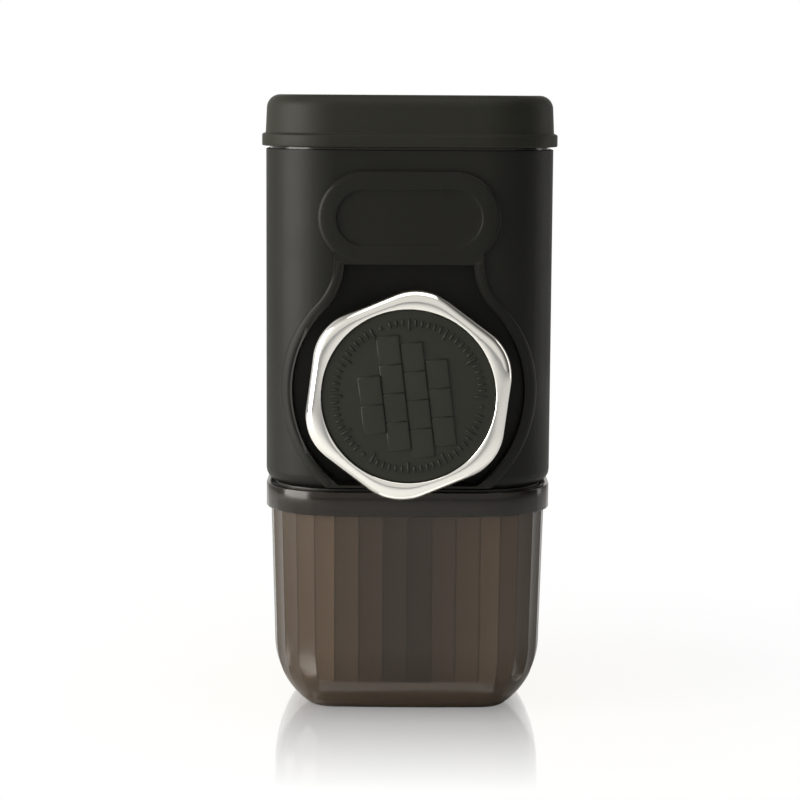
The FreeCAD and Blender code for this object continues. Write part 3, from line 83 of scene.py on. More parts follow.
# %% Camera
MM = 0.001
LENS_MM = 104.3
SENSOR_MM = 36
EYE = (-2.2, -635.5, 165)
LOOK_DOWN = math.radians(7.5)
ROLL = math.radians(0.35)

camera_data = bpy.data.cameras.new("camera")
camera_data.sensor_width = SENSOR_MM
camera_data.lens = LENS_MM
camera_data.clip_start = 0.01
camera = bpy.data.objects.new("camera", camera_data)
bpy.context.scene.collection.objects.link(camera)
aim = Matrix.Rotation(math.pi / 2 - LOOK_DOWN, 4, "X") @ Matrix.Rotation(ROLL, 4, "Z")
camera.matrix_world = Matrix.Translation(Vector(EYE) * MM) @ aim
bpy.context.scene.camera = camera
print("lens", camera_data.lens, "mm at", [round(value, 4) for value in camera.location])

# %% [markdown]
# Materials are built from nodes.
# One function turns the sRGB hex colours that a maker would write down into linear light,
# and one function adds a node with its settings and links.


# %% Colour and node helpers
def linear(code):
    """A hex sRGB colour as linear red, green, blue and alpha."""
    channels = [int(code[i:i + 2], 16) / 255 for i in (1, 3, 5)]
    return [
        value / 12.92 if value < 0.04045 else ((value + 0.055) / 1.055) ** 2.4
        for value in channels
    ] + [1]


def add(material, kind, settings=None, **links):
    """Add one shader node with its settings and links.

    A setting is a property or a socket, and a link is named by its socket, with _ for a space.
    A socket may also go by its number: "6" among the settings, i6 among the links.
    """
    node = material.node_tree.nodes.new("ShaderNode" + kind)
    for name, value in (settings or {}).items():
        if hasattr(node, name):
            setattr(node, name, value)
        else:
            node.inputs[int(name) if name.isdigit() else name].default_value = value
    for name, source in links.items():
        numbered = name[0] == "i" and name[1:].isdigit()
        socket = node.inputs[int(name[1:]) if numbered else name.replace("_", " ")]
        material.node_tree.links.new(source, socket)
    return node


def new_material(name):
    """An empty material that uses nodes, and its output node."""
    material = bpy.data.materials.new(name)
    material.use_nodes = True
    material.node_tree.nodes.clear()
    return material, add(material, "OutputMaterial")


def object_place(material):
    """The place on the piece in metres, the same for every piece."""
    return add(material, "TexCoord").outputs["Object"]


# %% [markdown]
# The housing and lid are injection-moulded black ABS with a fine spark-eroded texture.
# The texture scatters the studio light, so the wall looks soft grey-black and only the
# turned-away corners shine.
# An image of the grain would need a flat layout of every piece, so the grain is noise in space.
# Real spark grain is about 0.05 mm; it is drawn at 0.25 mm so that it still shows.

# %% Moulded plastic
CLOUDS_PER_METRE = 45
GLOSS_SWING = 0.05


def moulded(name, colour, worn, grain_mm, depth_mm, roughness, specular):
    """A moulded plastic: fine grain in the surface and slow changes of tone and gloss."""
    material, output = new_material(name)
    place = object_place(material)
    grain = add(material, "TexNoise", {"Scale": 1 / (grain_mm * MM), "Detail": 2}, Vector=place)
    cloud = add(material, "TexNoise", {"Scale": CLOUDS_PER_METRE, "Detail": 3}, Vector=place)
    tone = add(
        material, "Mix",
        {"data_type": "RGBA", "6": linear(colour), "7": linear(worn)}, i0=cloud.outputs["Fac"],
    )
    gloss = add(
        material, "MapRange",
        {
            "From Min": 0.3, "From Max": 0.7,
            "To Min": roughness - GLOSS_SWING, "To Max": roughness + GLOSS_SWING,
        },
        Value=cloud.outputs["Fac"],
    )
    bump = add(
        material, "Bump", {"Strength": 0.35, "Distance": depth_mm * MM}, Height=grain.outputs["Fac"]
    )
    shader = add(
        material, "BsdfPrincipled", {"IOR": 1.53, "Specular IOR Level": specular},
        Base_Color=tone.outputs[2], Roughness=gloss.outputs["Result"],
        Normal=bump.outputs["Normal"],
    )
    material.node_tree.links.new(shader.outputs["BSDF"], output.inputs["Surface"])
    return material


textured_abs = moulded("textured_black_abs", "#11110e", "#171713", 0.25, 0.02, 0.46, 0.13)
# The lid's copy of the same ABS is lighter: painted light for the lid's lighter look under the
# lamps.
lid_abs_painted_lighter = moulded("textured_black_abs_lid_painted_lighter", "#1b1b16", "#21211b", 0.25, 0.02, 0.5, 0.13)
knob_rubber = moulded("soft_touch_rubber_disc", "#1c1d18", "#24251e", 0.2, 0.015, 0.5, 0.2)
inner_abs = moulded("satin_inner_abs", "#2a2a28", "#31312f", 0.4, 0.01, 0.38, 0.45)
silicone = moulded("moulded_grey_silicone", "#5b5a57", "#65635f", 0.5, 0.01, 0.6, 0.3)
print("plastics:", [material.name for material in bpy.data.materials])

# %% [markdown]
# The knob's ring is ABS with a bright chrome plating.
# Plating is a mirror, so its look is that of the studio round it, with very faint waves from
# polishing.
# Brushed and turned steel parts inside are less smooth.


# %% Metals
def metal(name, colour, roughness, wave_mm, depth_mm):
    """A metal surface with shallow waves left by its finishing."""
    material, output = new_material(name)
    place = object_place(material)
    wave = add(material, "TexNoise", {"Scale": 1 / (wave_mm * MM), "Detail": 1}, Vector=place)
    smear = add(
        material, "MapRange",
        {"From Min": 0.3, "From Max": 0.7, "To Min": roughness * 0.7, "To Max": roughness * 1.3},
        Value=wave.outputs["Fac"],
    )
    bump = add(
        material, "Bump", {"Strength": 0.2, "Distance": depth_mm * MM}, Height=wave.outputs["Fac"]
    )
    shader = add(
        material, "BsdfPrincipled", {"Metallic": 1.0, "Base Color": linear(colour)},
        Roughness=smear.outputs["Result"], Normal=bump.outputs["Normal"],
    )
    material.node_tree.links.new(shader.outputs["BSDF"], output.inputs["Surface"])
    return material


chrome_plating = metal("bright_chrome_plating", "#e4e3de", 0.1, 9, 0.01)
turned_steel = metal("turned_stainless_steel", "#c9c8c4", 0.25, 0.8, 0.01)
print("metals:", chrome_plating.name, turned_steel.name)

# %% [markdown]
# The cup is a smoke-tinted clear moulding, faintly matt on the inside, so the parts behind its
# wall show only as soft dark shapes.
# Glass with a true absorbing volume is slow and grainy, so the tint is in the surface, and
# two fifths of the light goes through.
# Each mesh may carry a value of painted light of its own, which mixes the lighter tone into the
# dark base tone.

# %% Smoked clear plastic
HAZE_PER_METRE = 25


def smoked(name, base_tone, lit_tone, roughness):
    """A tinted clear plastic, lighter where a mesh carries a value of painted light."""
    material, output = new_material(name)
    place = object_place(material)
    haze = add(material, "TexNoise", {"Scale": HAZE_PER_METRE, "Detail": 1}, Vector=place)
    matt = add(
        material, "MapRange",
        {"From Min": 0.1, "From Max": 0.9, "To Min": roughness * 0.8, "To Max": roughness * 1.2},
        Value=haze.outputs["Fac"],
    )
    # This node reads the painted light that a mesh carries, such as the cup's painted facet
    # shading.
    wall = add(material, "Attribute", {"attribute_name": "painted_facet_light"})
    tone = add(
        material, "Mix", {"data_type": "RGBA", "6": linear(base_tone), "7": linear(lit_tone)},
        i0=wall.outputs["Fac"],
    )
    shader = add(
        material, "BsdfPrincipled",
        {"IOR": 1.5, "Transmission Weight": 0.4, "Specular IOR Level": 0.22},
        Base_Color=tone.outputs[2], Roughness=matt.outputs["Result"],
    )
    material.node_tree.links.new(shader.outputs["BSDF"], output.inputs["Surface"])
    return material


# The cup's lighter colour is the tone of its painted highlights.
smoked_clear = smoked("smoked_clear_as_plastic", "#1a150f", "#5c4c3c", 0.15)
# The tank's dark smoke tint is partly its own colour and partly painted shade for the gap under the
# lid, where its rim shows.
tank_smoke_and_gap_shade = smoked("smoked_tank_plastic_and_gap_shade", "#201e1a", "#45403a", 0.2)
print("clear plastics:", smoked_clear.name, tank_smoke_and_gap_shade.name)

# %% [markdown]
# The table is a clear acrylic sheet over white paper.
# It mirrors the foot of the cup for a few centimetres and then fades to white, and it keeps a
# faint shadow of the object.
# A plain mirror would show the whole object, so the mirror's share falls with the distance from
# the foot.
# The eye looks through the sheet, so that the cup still shows when it is pulled off downwards.

# %% Table
FOOT_HALF = {"X": 20, "Y": 12}
MIRROR_REACH = (4, 86)
MIRROR_SHARE = 0.72
SHADOW_REACH = 160
SHADOW_CLEARED = 0.8

table_material, table_output = new_material("satin_acrylic_table")
place = object_place(table_material)
table_place = add(table_material, "SeparateXYZ", Vector=place)
past_foot = {}
for axis, half in FOOT_HALF.items():
    size = add(
        table_material, "Math", {"operation": "ABSOLUTE"}, i0=table_place.outputs[axis]
    )
    past = add(
        table_material, "Math", {"operation": "SUBTRACT", "1": half * MM}, i0=size.outputs[0]
    )
    kept = add(table_material, "Math", {"operation": "MAXIMUM", "1": 0.0}, i0=past.outputs[0])
    past_foot[axis] = kept.outputs[0]
joined = add(table_material, "CombineXYZ", X=past_foot["X"], Y=past_foot["Y"])
away = add(table_material, "VectorMath", {"operation": "LENGTH"}, i0=joined.outputs[0])
shine = add(
    table_material, "MapRange",
    {
        "From Min": MIRROR_REACH[0] * MM, "From Max": MIRROR_REACH[1] * MM,
        "To Min": MIRROR_SHARE, "To Max": 0.0,
    },
    Value=away.outputs["Value"],
)
speckle = add(table_material, "TexNoise", {"Scale": 30, "Detail": 2}, Vector=place)
paper = add(
    table_material, "Mix",
    {"data_type": "RGBA", "6": linear("#f6f6f6"), "7": linear("#fafafa")},
    i0=speckle.outputs["Fac"],
)
matt_table = add(table_material, "BsdfDiffuse", Color=paper.outputs[2])
clear = add(table_material, "BsdfTransparent", {"Color": linear("#ffffff")})
rays = add(table_material, "LightPath")
cleared = add(
    table_material, "MapRange",
    {"From Min": 0.0, "From Max": SHADOW_REACH * MM, "To Min": SHADOW_CLEARED, "To Max": 1.0},
    Value=away.outputs["Value"],
)
to_the_eye = add(
    table_material, "Math", {"operation": "MULTIPLY"},
    i0=cleared.outputs["Result"], i1=rays.outputs["Is Camera Ray"],
)
sheet = add(
    table_material, "MixShader",
    i0=to_the_eye.outputs[0], i1=matt_table.outputs[0], i2=clear.outputs[0],
)
mirror = add(table_material, "BsdfGlossy", {"Color": linear("#ffffff"), "Roughness": 0.06})
top_coat = add(
    table_material, "MixShader",
    i0=shine.outputs["Result"], i1=sheet.outputs[0], i2=mirror.outputs[0],
)
table_material.node_tree.links.new(top_coat.outputs[0], table_output.inputs["Surface"])

bpy.ops.mesh.primitive_plane_add(size=6, location=(0, 0, 0))
table = bpy.context.object
table.name = "table"
table.data.materials.append(table_material)
print("table:", table.name, [round(side, 2) for side in table.dimensions[:2]], "m")

# %% [markdown]
# The studio is white to the eye and through clear plastic.
# What shines mirrors more than that: dark screens stand at the sides, a bright wall stands in
# front and a paler one behind, and a window at the left, and these draw the edges of the black
# plastic and the plating.
# Real walls would cast light of their own, so they are only strengths by direction, and they
# are seen by reflections alone.

# %% Studio
ROOM = 0.35
WALLS = {
    "front": ("Y", -0.8, -0.2, 0.88, 0.12),
    "rear": ("Y", 0.1, 0.5, 0.0, 0.26),
    "backdrop": ("Y", 0.84, 0.96, 0.0, 0.62),
    "window": ("X", -0.85, -0.2, 0.6, 0.0),
}

world = bpy.data.worlds.new("studio")
bpy.context.scene.world = world
world.use_nodes = True
world.node_tree.nodes.clear()
world_output = add(world, "OutputWorld")
rays = add(world, "LightPath")
shown = add(
    world, "Math", {"operation": "MAXIMUM"},
    i0=rays.outputs["Is Camera Ray"], i1=rays.outputs["Is Transmission Ray"],
)
direction = add(world, "SeparateXYZ", Vector=add(world, "TexCoord").outputs["Generated"])
strength = None
for wall, (axis, start, end, first, last) in WALLS.items():
    grade = add(
        world, "MapRange",
        {"From Min": start, "From Max": end, "To Min": first, "To Max": last},
        Value=direction.outputs[axis],
    ).outputs["Result"]
    if strength is None:
        strength = grade
    else:
        strength = add(world, "Math", {"operation": "ADD"}, i0=strength, i1=grade).outputs[0]
room = add(world, "Background", {"Color": linear("#ffffff"), "Strength": ROOM})
white = add(world, "Background", {"Color": linear("#ffffff"), "Strength": 1.0})
mirrored = add(world, "Background", {"Color": linear("#fffdf8")}, Strength=strength)
unseen = add(
    world, "MixShader",
    i0=rays.outputs["Is Glossy Ray"], i1=room.outputs[0], i2=mirrored.outputs[0],
)
sky = add(world, "MixShader", i0=shown.outputs[0], i1=unseen.outputs[0], i2=white.outputs[0])
world.node_tree.links.new(sky.outputs[0], world_output.inputs["Surface"])

bpy.context.scene.view_settings.view_transform = "Standard"
print("studio walls:", list(WALLS))

# %% [markdown]
# Three large soft boxes light the object: a strong one from the front left, a weaker one from
# the right and a broad one from above.
# A lamp the size of a real soft box gives soft shadows, which a point lamp can't.

# %% Soft boxes
LAMP_COLOUR = "#fffcf5"


def soft_box(name, place, target, width, height, watts):
    """A rectangular area lamp that faces a target, sizes in millimetres."""
    data = bpy.data.lights.new(name, "AREA")
    data.shape = "RECTANGLE"
    data.size = width * MM
    data.size_y = height * MM
    data.energy = watts
    data.color = linear(LAMP_COLOUR)[:3]
    lamp = bpy.data.objects.new(name, data)
    bpy.context.scene.collection.objects.link(lamp)
    lamp.location = Vector(place) * MM
    towards = Vector(target) * MM - lamp.location
    lamp.rotation_euler = towards.to_track_quat("-Z", "Y").to_euler()
    print(name, watts, "W")


soft_box("left_box", (-630, -240, 160), (0, 0, 90), 520, 760, 11)
soft_box("right_box", (600, 260, 160), (0, 0, 90), 160, 700, 0.6)
soft_box("top_box", (0, -150, 800), (0, 0, 80), 700, 600, 2.6)

# %% [markdown]
# Every mesh enters the scene in the same way, with one finish.


# %% Put a mesh into the scene
def link(name, mesh, material):
    """Put a mesh into the scene with one material."""
    piece = bpy.data.objects.new(name, mesh)
    bpy.context.scene.collection.objects.link(piece)
    mesh.materials.clear()
    mesh.materials.append(material)
    return piece


# %% [markdown]
# The housing's lower edge is a quarter round on the real one.
# The solid keeps it as a flat bevel to stay light, so the flat is cut into thin bands here, and
# each band is pushed out onto the round.

# %% Round the housing's lower edge
HALF_WIDTH = 38.25
HALF_DEPTH = 33.0
CORNER = 19.0
LOW_ROUND = 3.6
BAND_SHARES = (0.1, 0.22, 0.36, 0.52, 0.72, 0.98)
NEAR = 0.01
ON_BEVEL = 0.25


def round_lower_edge(shape, low):
    """Swell the flat 45 degree bevel under the housing into a true quarter round."""
    for share in BAND_SHARES:
        band = [v for v in shape.verts if low - NEAR < v.co.z / MM < low + LOW_ROUND + NEAR]
        faces = {face for v in band for face in v.link_faces}
        edges = {edge for face in faces for edge in face.edges}
        verts = {v for face in faces for v in face.verts}
        bmesh.ops.bisect_plane(
            shape, geom=list(verts | edges | faces), dist=1e-7,
            plane_co=(0, 0, (low + LOW_ROUND * share) * MM), plane_no=(0, 0, 1),
        )
    moved = 0
    for vert in shape.verts:
        height = vert.co.z / MM - low
        if not -NEAR < height < LOW_ROUND:
            continue
        out_x = abs(vert.co.x) / MM - (HALF_WIDTH - CORNER)
        out_y = abs(vert.co.y) / MM - (HALF_DEPTH - CORNER)
        if out_x > 0 and out_y > 0:
            reach = math.hypot(out_x, out_y)
            normal = Vector((out_x / reach, out_y / reach))
        else:
            reach = max(out_x, out_y)
            normal = Vector((1, 0)) if out_x > out_y else Vector((0, 1))
        left = LOW_ROUND - height
        if abs(CORNER - reach - left) > ON_BEVEL:
            continue
        curve = LOW_ROUND - math.sqrt(max(0, LOW_ROUND ** 2 - left ** 2))
        push = (CORNER - reach - curve) * MM
        vert.co.x += math.copysign(normal.x * push, vert.co.x)
        vert.co.y += math.copysign(normal.y * push, vert.co.y)
        moved += 1
    print("lower edge points moved:", moved)


# %% [markdown]
# Most pieces are exact solids with sharp moulded edges.
# A real moulding has a small radius on every edge, which catches a thin line of light.
# Each such piece is taken from its solid, its flat faces are joined again, and every edge
# sharper than a limit gets a narrow bevel.
# The shading is then weighed by area, so that the flat faces stay flat beside the bevels.
# The steps are the same for all, so they are one function, with a table of finishes and widths.

# %% Take a piece from its solid and round its edges
FLAT_WITHIN = math.radians(0.6)
SHARP_EDGE = math.radians(32)
SMOOTH_BELOW = math.radians(30)
FLAT_FACE_WEIGHT = 90


def keep_modified(piece):
    """Make the mesh that the piece's modifiers give its own mesh."""
    bpy.context.view_layer.update()
    done = bpy.data.meshes.new_from_object(
        piece.evaluated_get(bpy.context.evaluated_depsgraph_get())
    )
    piece.modifiers.clear()
    piece.data = done


def eased(node, material, width_mm):
    """A copy of a solid with narrow bevels on its sharp edges and smooth shading."""
    mesh = nodes[node].data.copy()
    mesh.name = "eased_" + node
    shape = bmesh.new()
    shape.from_mesh(mesh)
    bmesh.ops.remove_doubles(shape, verts=shape.verts, dist=1e-6)
    bmesh.ops.dissolve_limit(
        shape, angle_limit=FLAT_WITHIN, verts=shape.verts, edges=shape.edges
    )
    if node == "housing_shell":
        round_lower_edge(shape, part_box(node)[0].z / MM)
    shape.to_mesh(mesh)
    shape.free()
    piece = link("eased_" + node, mesh, material)
    if width_mm:
        bevel = piece.modifiers.new("edge", "BEVEL")
        bevel.width = width_mm * MM
        bevel.segments = 3
        bevel.limit_method = "ANGLE"
        bevel.angle_limit = SHARP_EDGE
        bevel.use_clamp_overlap = True
        bevel.harden_normals = True
        keep_modified(piece)
    piece.data.shade_smooth()
    piece.data.set_sharp_from_angle(angle=SMOOTH_BELOW)
    weigh = piece.modifiers.new("flat_faces_stay_flat", "WEIGHTED_NORMAL")
    weigh.mode = "FACE_AREA"
    weigh.weight = FLAT_FACE_WEIGHT
    weigh.keep_sharp = True
    keep_modified(piece)
    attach(piece, nodes[node]["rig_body"])
    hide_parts(node)


EASED = {
    "housing_shell": (textured_abs, 0.35),
    "water_tank": (tank_smoke_and_gap_shade, 0.2),
    "tank_strainer": (turned_steel, 0),
    "base_plate": (inner_abs, 0.15),
    "cup_seal": (silicone, 0.2),
    "lock_ring": (inner_abs, 0.15),
    "pump_cylinder": (inner_abs, 0.2),
    "cylinder_cap": (inner_abs, 0.2),
    "valve_block": (inner_abs, 0.2),
    "group_head": (inner_abs, 0.2),
    "dispersion_screen": (turned_steel, 0),
    "group_gasket": (silicone, 0.15),
    "lid_seal": (silicone, 0.3),
    "piston_rod": (turned_steel, 0.2),
    "piston_head": (inner_abs, 0.15),
    "piston_seal": (silicone, 0.1),
    "knob_sleeve": (inner_abs, 0.2),
    "brew_cap": (inner_abs, 0.3),
    "filter_basket": (turned_steel, 0.05),
    "spout_nozzle": (inner_abs, 0.1),
    "inlet_valve": (silicone, 0.1),
    "outlet_valve": (silicone, 0.1),
    "tank_port_seal": (silicone, 0.1),
    "base_screws": (turned_steel, 0.1),
    "lock_ring_screws": (turned_steel, 0.1),
    "pump_screws": (turned_steel, 0.1),
    "valve_block_screws": (turned_steel, 0.1),
    "head_screws": (turned_steel, 0.1),
    "screen_screw": (turned_steel, 0.1),
    "rod_screw": (turned_steel, 0.1),
    "knob_screws": (turned_steel, 0.1),
}
for node, (material, width) in EASED.items():
    eased(node, material, width)
print("eased pieces:", len(EASED))

# %% [markdown]
# The lid, the cup and the knob are the pieces that the eye rests on, so they are drawn anew as
# stacks of outlines joined by quads.
# An outline is a rounded rectangle, and each level of a piece has its own inset and height,
# which gives every edge its true rounding.

# %% Lofted skins
PLAN_STEPS = 16


def loft(name, rings, material, sharp_columns=(), sharp_rows=(), caps=True):
    """Join rings of equally many points with quads, and close both ends."""
    shape = bmesh.new()
    rows = [[shape.verts.new(Vector(point) * MM) for point in ring] for ring in rings]
    count = len(rows[0])
    for low, high in zip(rows, rows[1:]):
        for i in range(count):
            j = (i + 1) % count
            shape.faces.new((low[i], low[j], high[j], high[i]))
    if caps:
        shape.faces.new(rows[0][::-1])
        shape.faces.new(rows[-1])
    bmesh.ops.recalc_face_normals(shape, faces=shape.faces)
    for face in shape.faces:
        face.smooth = True
    for row in sharp_rows:
        for i in range(count):
            edge = shape.edges.get((rows[row][i], rows[row][(i + 1) % count]))
            edge.smooth = False
    for low, high, columns in sharp_columns:
        for row in range(low, high):
            for i in columns:
                shape.edges.get((rows[row][i], rows[row + 1][i])).smooth = False
    mesh = bpy.data.meshes.new(name)
    shape.to_mesh(mesh)
    shape.free()
    return link(name, mesh, material)


def plan_ring(inset, level):
    """The housing's plan, drawn in by an inset, at one level."""
    points = []
    for quarter, (side_x, side_y) in enumerate(((1, 1), (-1, 1), (-1, -1), (1, -1))):
        for step in range(PLAN_STEPS + 1):
            angle = math.radians(90 * quarter + 90 * step / PLAN_STEPS)
            points.append((
                side_x * (HALF_WIDTH - CORNER) + (CORNER - inset) * math.cos(angle),
                side_y * (HALF_DEPTH - CORNER) + (CORNER - inset) * math.sin(angle),
                level,
            ))
    return points


def rounding(inset, level, radius, start, end, steps):
    """Insets and levels round an edge; the angle runs from 0 straight in to 90 straight up."""
    turn = [math.radians(start + (end - start) * step / steps) for step in range(steps + 1)]
    return [(inset - radius * math.cos(a), level + radius * math.sin(a)) for a in turn]


# %% [markdown]
# The lid leans in by 1.7 degrees so that it leaves its mould, has a 3.6 mm rounded top edge,
# and a lip round its lower rim.
# Its section is a list of insets and levels from the inside of the rim to the flat top.

# %% Lid
LID_ROUND = 3.6
LIP_ROUNDS = (0.35, 0.55)

lid_low, lid_high = (corner.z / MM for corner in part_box("lid_cover"))
lid_profile = [(2.2, lid_high - 2.5), (2.05, lid_low + 0.3), (1.7, lid_low)]
lid_profile += rounding(-0.75, lid_low + 0.35, LIP_ROUNDS[0], -90, 0, 3)
lid_profile += rounding(-0.55, lid_low + 2.75, LIP_ROUNDS[1], 0, 80, 4)
lid_profile += [(-0.35, lid_low + 3.35), (-0.2, lid_low + 3.5), (-0.12, lid_low + 3.9)]
lid_profile += rounding(LID_ROUND + 0.16, lid_high - LID_ROUND, LID_ROUND, 0, 90, 9)
lid_profile += [(12, lid_high), (18.5, lid_high)]
lid = loft("moulded_lid", [plan_ring(*level) for level in lid_profile], lid_abs_painted_lighter)
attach(lid, "lid")
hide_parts("lid_cover")
print("lid from", lid_low, "to", lid_high)

# %% [markdown]
# Over the knob's recess sits a raised plate, a flat oval with a soft edge and a sunk field.
# It stands about 1.3 mm proud of the wall and follows it round the corners, so one function
# places each point on the wall, and the plate is stacked from one outline drawn in by levels.
# A boolean cut would leave its edges too sharp to look moulded.

# %% Plate
PROUD = 1.27
PLATE_Z = 133.3
PLATE_RADIUS = 12.05
PLATE_HALF = 11.7
PLATE_STEPS = 20
EDGE_TURNS = (12, 25, 38, 51, 64, 77, 90)
FIELD_DEPTH = 0.6


def on_wall(x, z, proud):
    """A point that stands proud of the housing's front wall."""
    past = min(1.0, max(0.0, abs(x) - (HALF_WIDTH - CORNER)) / CORNER)
    angle = math.asin(past)
    wall_y = -(HALF_DEPTH - CORNER) - CORNER * math.cos(angle)
    side = math.copysign(math.sin(angle), x)
    return (x + side * proud, wall_y - math.cos(angle) * proud, z)


def stadium(inset, proud):
    """The plate's outline, drawn in by an inset, standing proud of the wall."""
    radius = PLATE_RADIUS - inset
    points = []
    for end in (1, -1):
        for step in range(PLATE_STEPS + 1):
            a = math.radians(-90 * end + 180 * step / PLATE_STEPS)
            x = end * PLATE_HALF + radius * math.cos(a)
            points.append(on_wall(x, PLATE_Z + radius * math.sin(a), proud))
        for step in range(1, 8):
            x = end * (PLATE_HALF - 2 * PLATE_HALF * step / 8)
            points.append(on_wall(x, PLATE_Z + end * radius, proud))
    return points


plate_profile = [(-0.12, -0.4), (-0.12, 0.1)]
for turn in EDGE_TURNS:
    a = math.radians(turn)
    plate_profile.append((1.1 - 1.22 * math.cos(a), 0.1 + (PROUD - 0.1) * math.sin(a)))
plate_profile += [(inset, PROUD) for inset in (2.4, 3.6, 4.5)]
plate_profile += [(4.65, PROUD - 0.03), (4.74, PROUD - 0.12), (4.8, PROUD - 0.5)]
plate_profile += [(4.88, PROUD - 0.57), (5.05, PROUD - FIELD_DEPTH), (7.5, PROUD - FIELD_DEPTH)]
plate = loft("raised_plate", [stadium(*level) for level in plate_profile], textured_abs)
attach(plate, "housing")
print("plate outlines:", len(plate_profile))

# %% [markdown]
# A raised bead runs round the recess and up into the plate, like the outline of a racket.
# On each side it is one arc about the knob and one that flares outwards to the plate, and a
# section with soft corners is swept along both, with a rounded end at the bottom.

# %% Bead
BEAD_RADIUS = 32.0
BEAD_HALF = 1.45
BEAD_NECK = 18.2
BEAD_END_Z = 63.6
END_TURNS = (84, 65, 45, 25)
SECTION_STEPS = 16
KNOB_Z = (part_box("knob_disc")[0].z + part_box("knob_disc")[1].z) / 2 / MM


def bead_path(side):
    """The middle of the bead on one side, from its lower end to the plate."""
    rise = PLATE_Z - PLATE_RADIUS + 1.0 - KNOB_Z
    flare = (BEAD_NECK ** 2 + rise ** 2 - BEAD_RADIUS ** 2) / (2 * (BEAD_RADIUS - BEAD_NECK))
    tilt = math.atan2(rise, BEAD_NECK + flare)
    low = math.asin((BEAD_END_Z - KNOB_Z) / BEAD_RADIUS)
    points = []
    for step in range(33):
        a = low + (tilt - low) * step / 32
        points.append((side * BEAD_RADIUS * math.cos(a), KNOB_Z + BEAD_RADIUS * math.sin(a)))
    for step in range(1, 13):
        a = math.pi + tilt * (1 - step / 12)
        x = BEAD_NECK + flare + flare * math.cos(a)
        points.append((side * x, KNOB_Z + rise + flare * math.sin(a)))
    return points


def soft_square(value):
    """Fill out a sine or cosine, which turns a round section into one with soft corners."""
    return math.copysign(abs(value) ** 0.7, value)


def bead(side):
    """Sweep a soft-cornered section along the bead, closed by a rounded lower end."""
    points = bead_path(side)
    first, second = Vector(points[0]), Vector(points[1])
    back = (first - second).normalized()
    stations = []
    for turn in END_TURNS:
        a = math.radians(turn)
        stations.append((first + back * BEAD_HALF * math.sin(a), math.cos(a)))
    stations += [(Vector(point), 1) for point in points]
    rings = []
    for index, (centre, scale) in enumerate(stations):
        ahead = stations[min(index + 1, len(stations) - 1)][0]
        behind = stations[max(index - 1, 0)][0]
        along = (ahead - behind).normalized()
        across = Vector((-along.y, along.x))
        ring = []
        for step in range(SECTION_STEPS + 1):
            a = math.radians(-25 + 230 * step / SECTION_STEPS)
            wide = soft_square(math.cos(a)) * BEAD_HALF * scale
            tall = soft_square(math.sin(a)) * PROUD * (0.25 + 0.75 * scale)
            spot = centre + across * wide
            ring.append(on_wall(spot.x, spot.y, tall))
        rings.append(ring if side > 0 else ring[::-1])
    piece = loft("recess_bead_" + ("right" if side > 0 else "left"), rings, textured_abs)
    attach(piece, "housing")
    return len(rings)


print("bead sections:", bead(1) + bead(-1))

# %% [markdown]
# The cup starts with a smooth collar under the housing.
# Below it the wall steps in, leans in by 1.5 degrees and breaks into upright facets: five on
# each corner, six on the front and back, four on the sides.
# The facets run out into a smooth band round the foot.
# A facet that is hollow by 0.2 mm catches the light on one side, as the real ones do, so each
# outline is drawn both smooth and faceted, and mixed by height.

# %% Cup outlines
FACET_SHARES = (0, 0.035, 0.5, 0.965)
FACET_STEPS = len(FACET_SHARES)
HOLLOW = 0.2
CORNER_FACETS = 5
QUARTERS = [(1, 1, 6), (-1, 1, 4), (-1, -1, 6), (1, -1, 4)]


def cup_ring(inset, level, faceted, crown):
    """An outline of the cup; faceted goes from 0, a smooth curve, to 1, flat facets."""
    corners = []
    radius = CORNER - inset - crown
    centre_x = HALF_WIDTH - CORNER
    centre_y = HALF_DEPTH - CORNER

    def spot(quarter, share):
        """A point of the smooth outline: first round the corner, then along the side."""
        side_x, side_y, flats = QUARTERS[quarter]
        if share <= CORNER_FACETS:
            angle = math.radians(90 * quarter + 90 / CORNER_FACETS * share)
            return Vector((
                side_x * centre_x + radius * math.cos(angle),
                side_y * centre_y + radius * math.sin(angle), level,
            ))
        half, other = (centre_x, centre_y) if quarter % 2 == 0 else (centre_y, centre_x)
        along = 1 - 2 * (share - CORNER_FACETS) / flats
        turned = Matrix.Rotation(math.radians(90 * quarter), 3, "Z")
        bulge = crown * (1 - along * along)
        point = turned @ Vector((half * along, other + radius + bulge, 0))
        return Vector((point.x, point.y, level))

    for quarter, (side_x, side_y, flats) in enumerate(QUARTERS):
        for facet in range(CORNER_FACETS + flats):
            start, end = spot(quarter, facet), spot(quarter, facet + 1)
            for share in FACET_SHARES:
                smooth = spot(quarter, facet + share)
                flat = start.lerp(end, share)
                inward = Vector((start.y - end.y, end.x - start.x, 0)).normalized()
                flat += inward * (HOLLOW * math.sin(math.pi * share))
                corners.append(smooth.lerp(flat, faceted))
    return corners


# %% [markdown]
# The cup's section runs from the middle of the inside floor up to the rim, over it, and down
# the outside to the foot, as one closed skin of even thickness.

# %% Cup
COLLAR_HEIGHT = 6.5
BEND_TOP = 17.9
BEND_RADIUS = 22.0
LEAN = math.tan(math.radians(1.5))
SIDE_INSET = 0.85
CUP_WALL = 2.0
CUP_FLOOR = 2.2
CROWN = 0.45
FACETS_FROM = 8.5
FACETS_OVER = 2.5
SHARP_FROM = 9.5

cup_low, cup_high = (corner.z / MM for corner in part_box("cup"))
collar_low = cup_high - COLLAR_HEIGHT


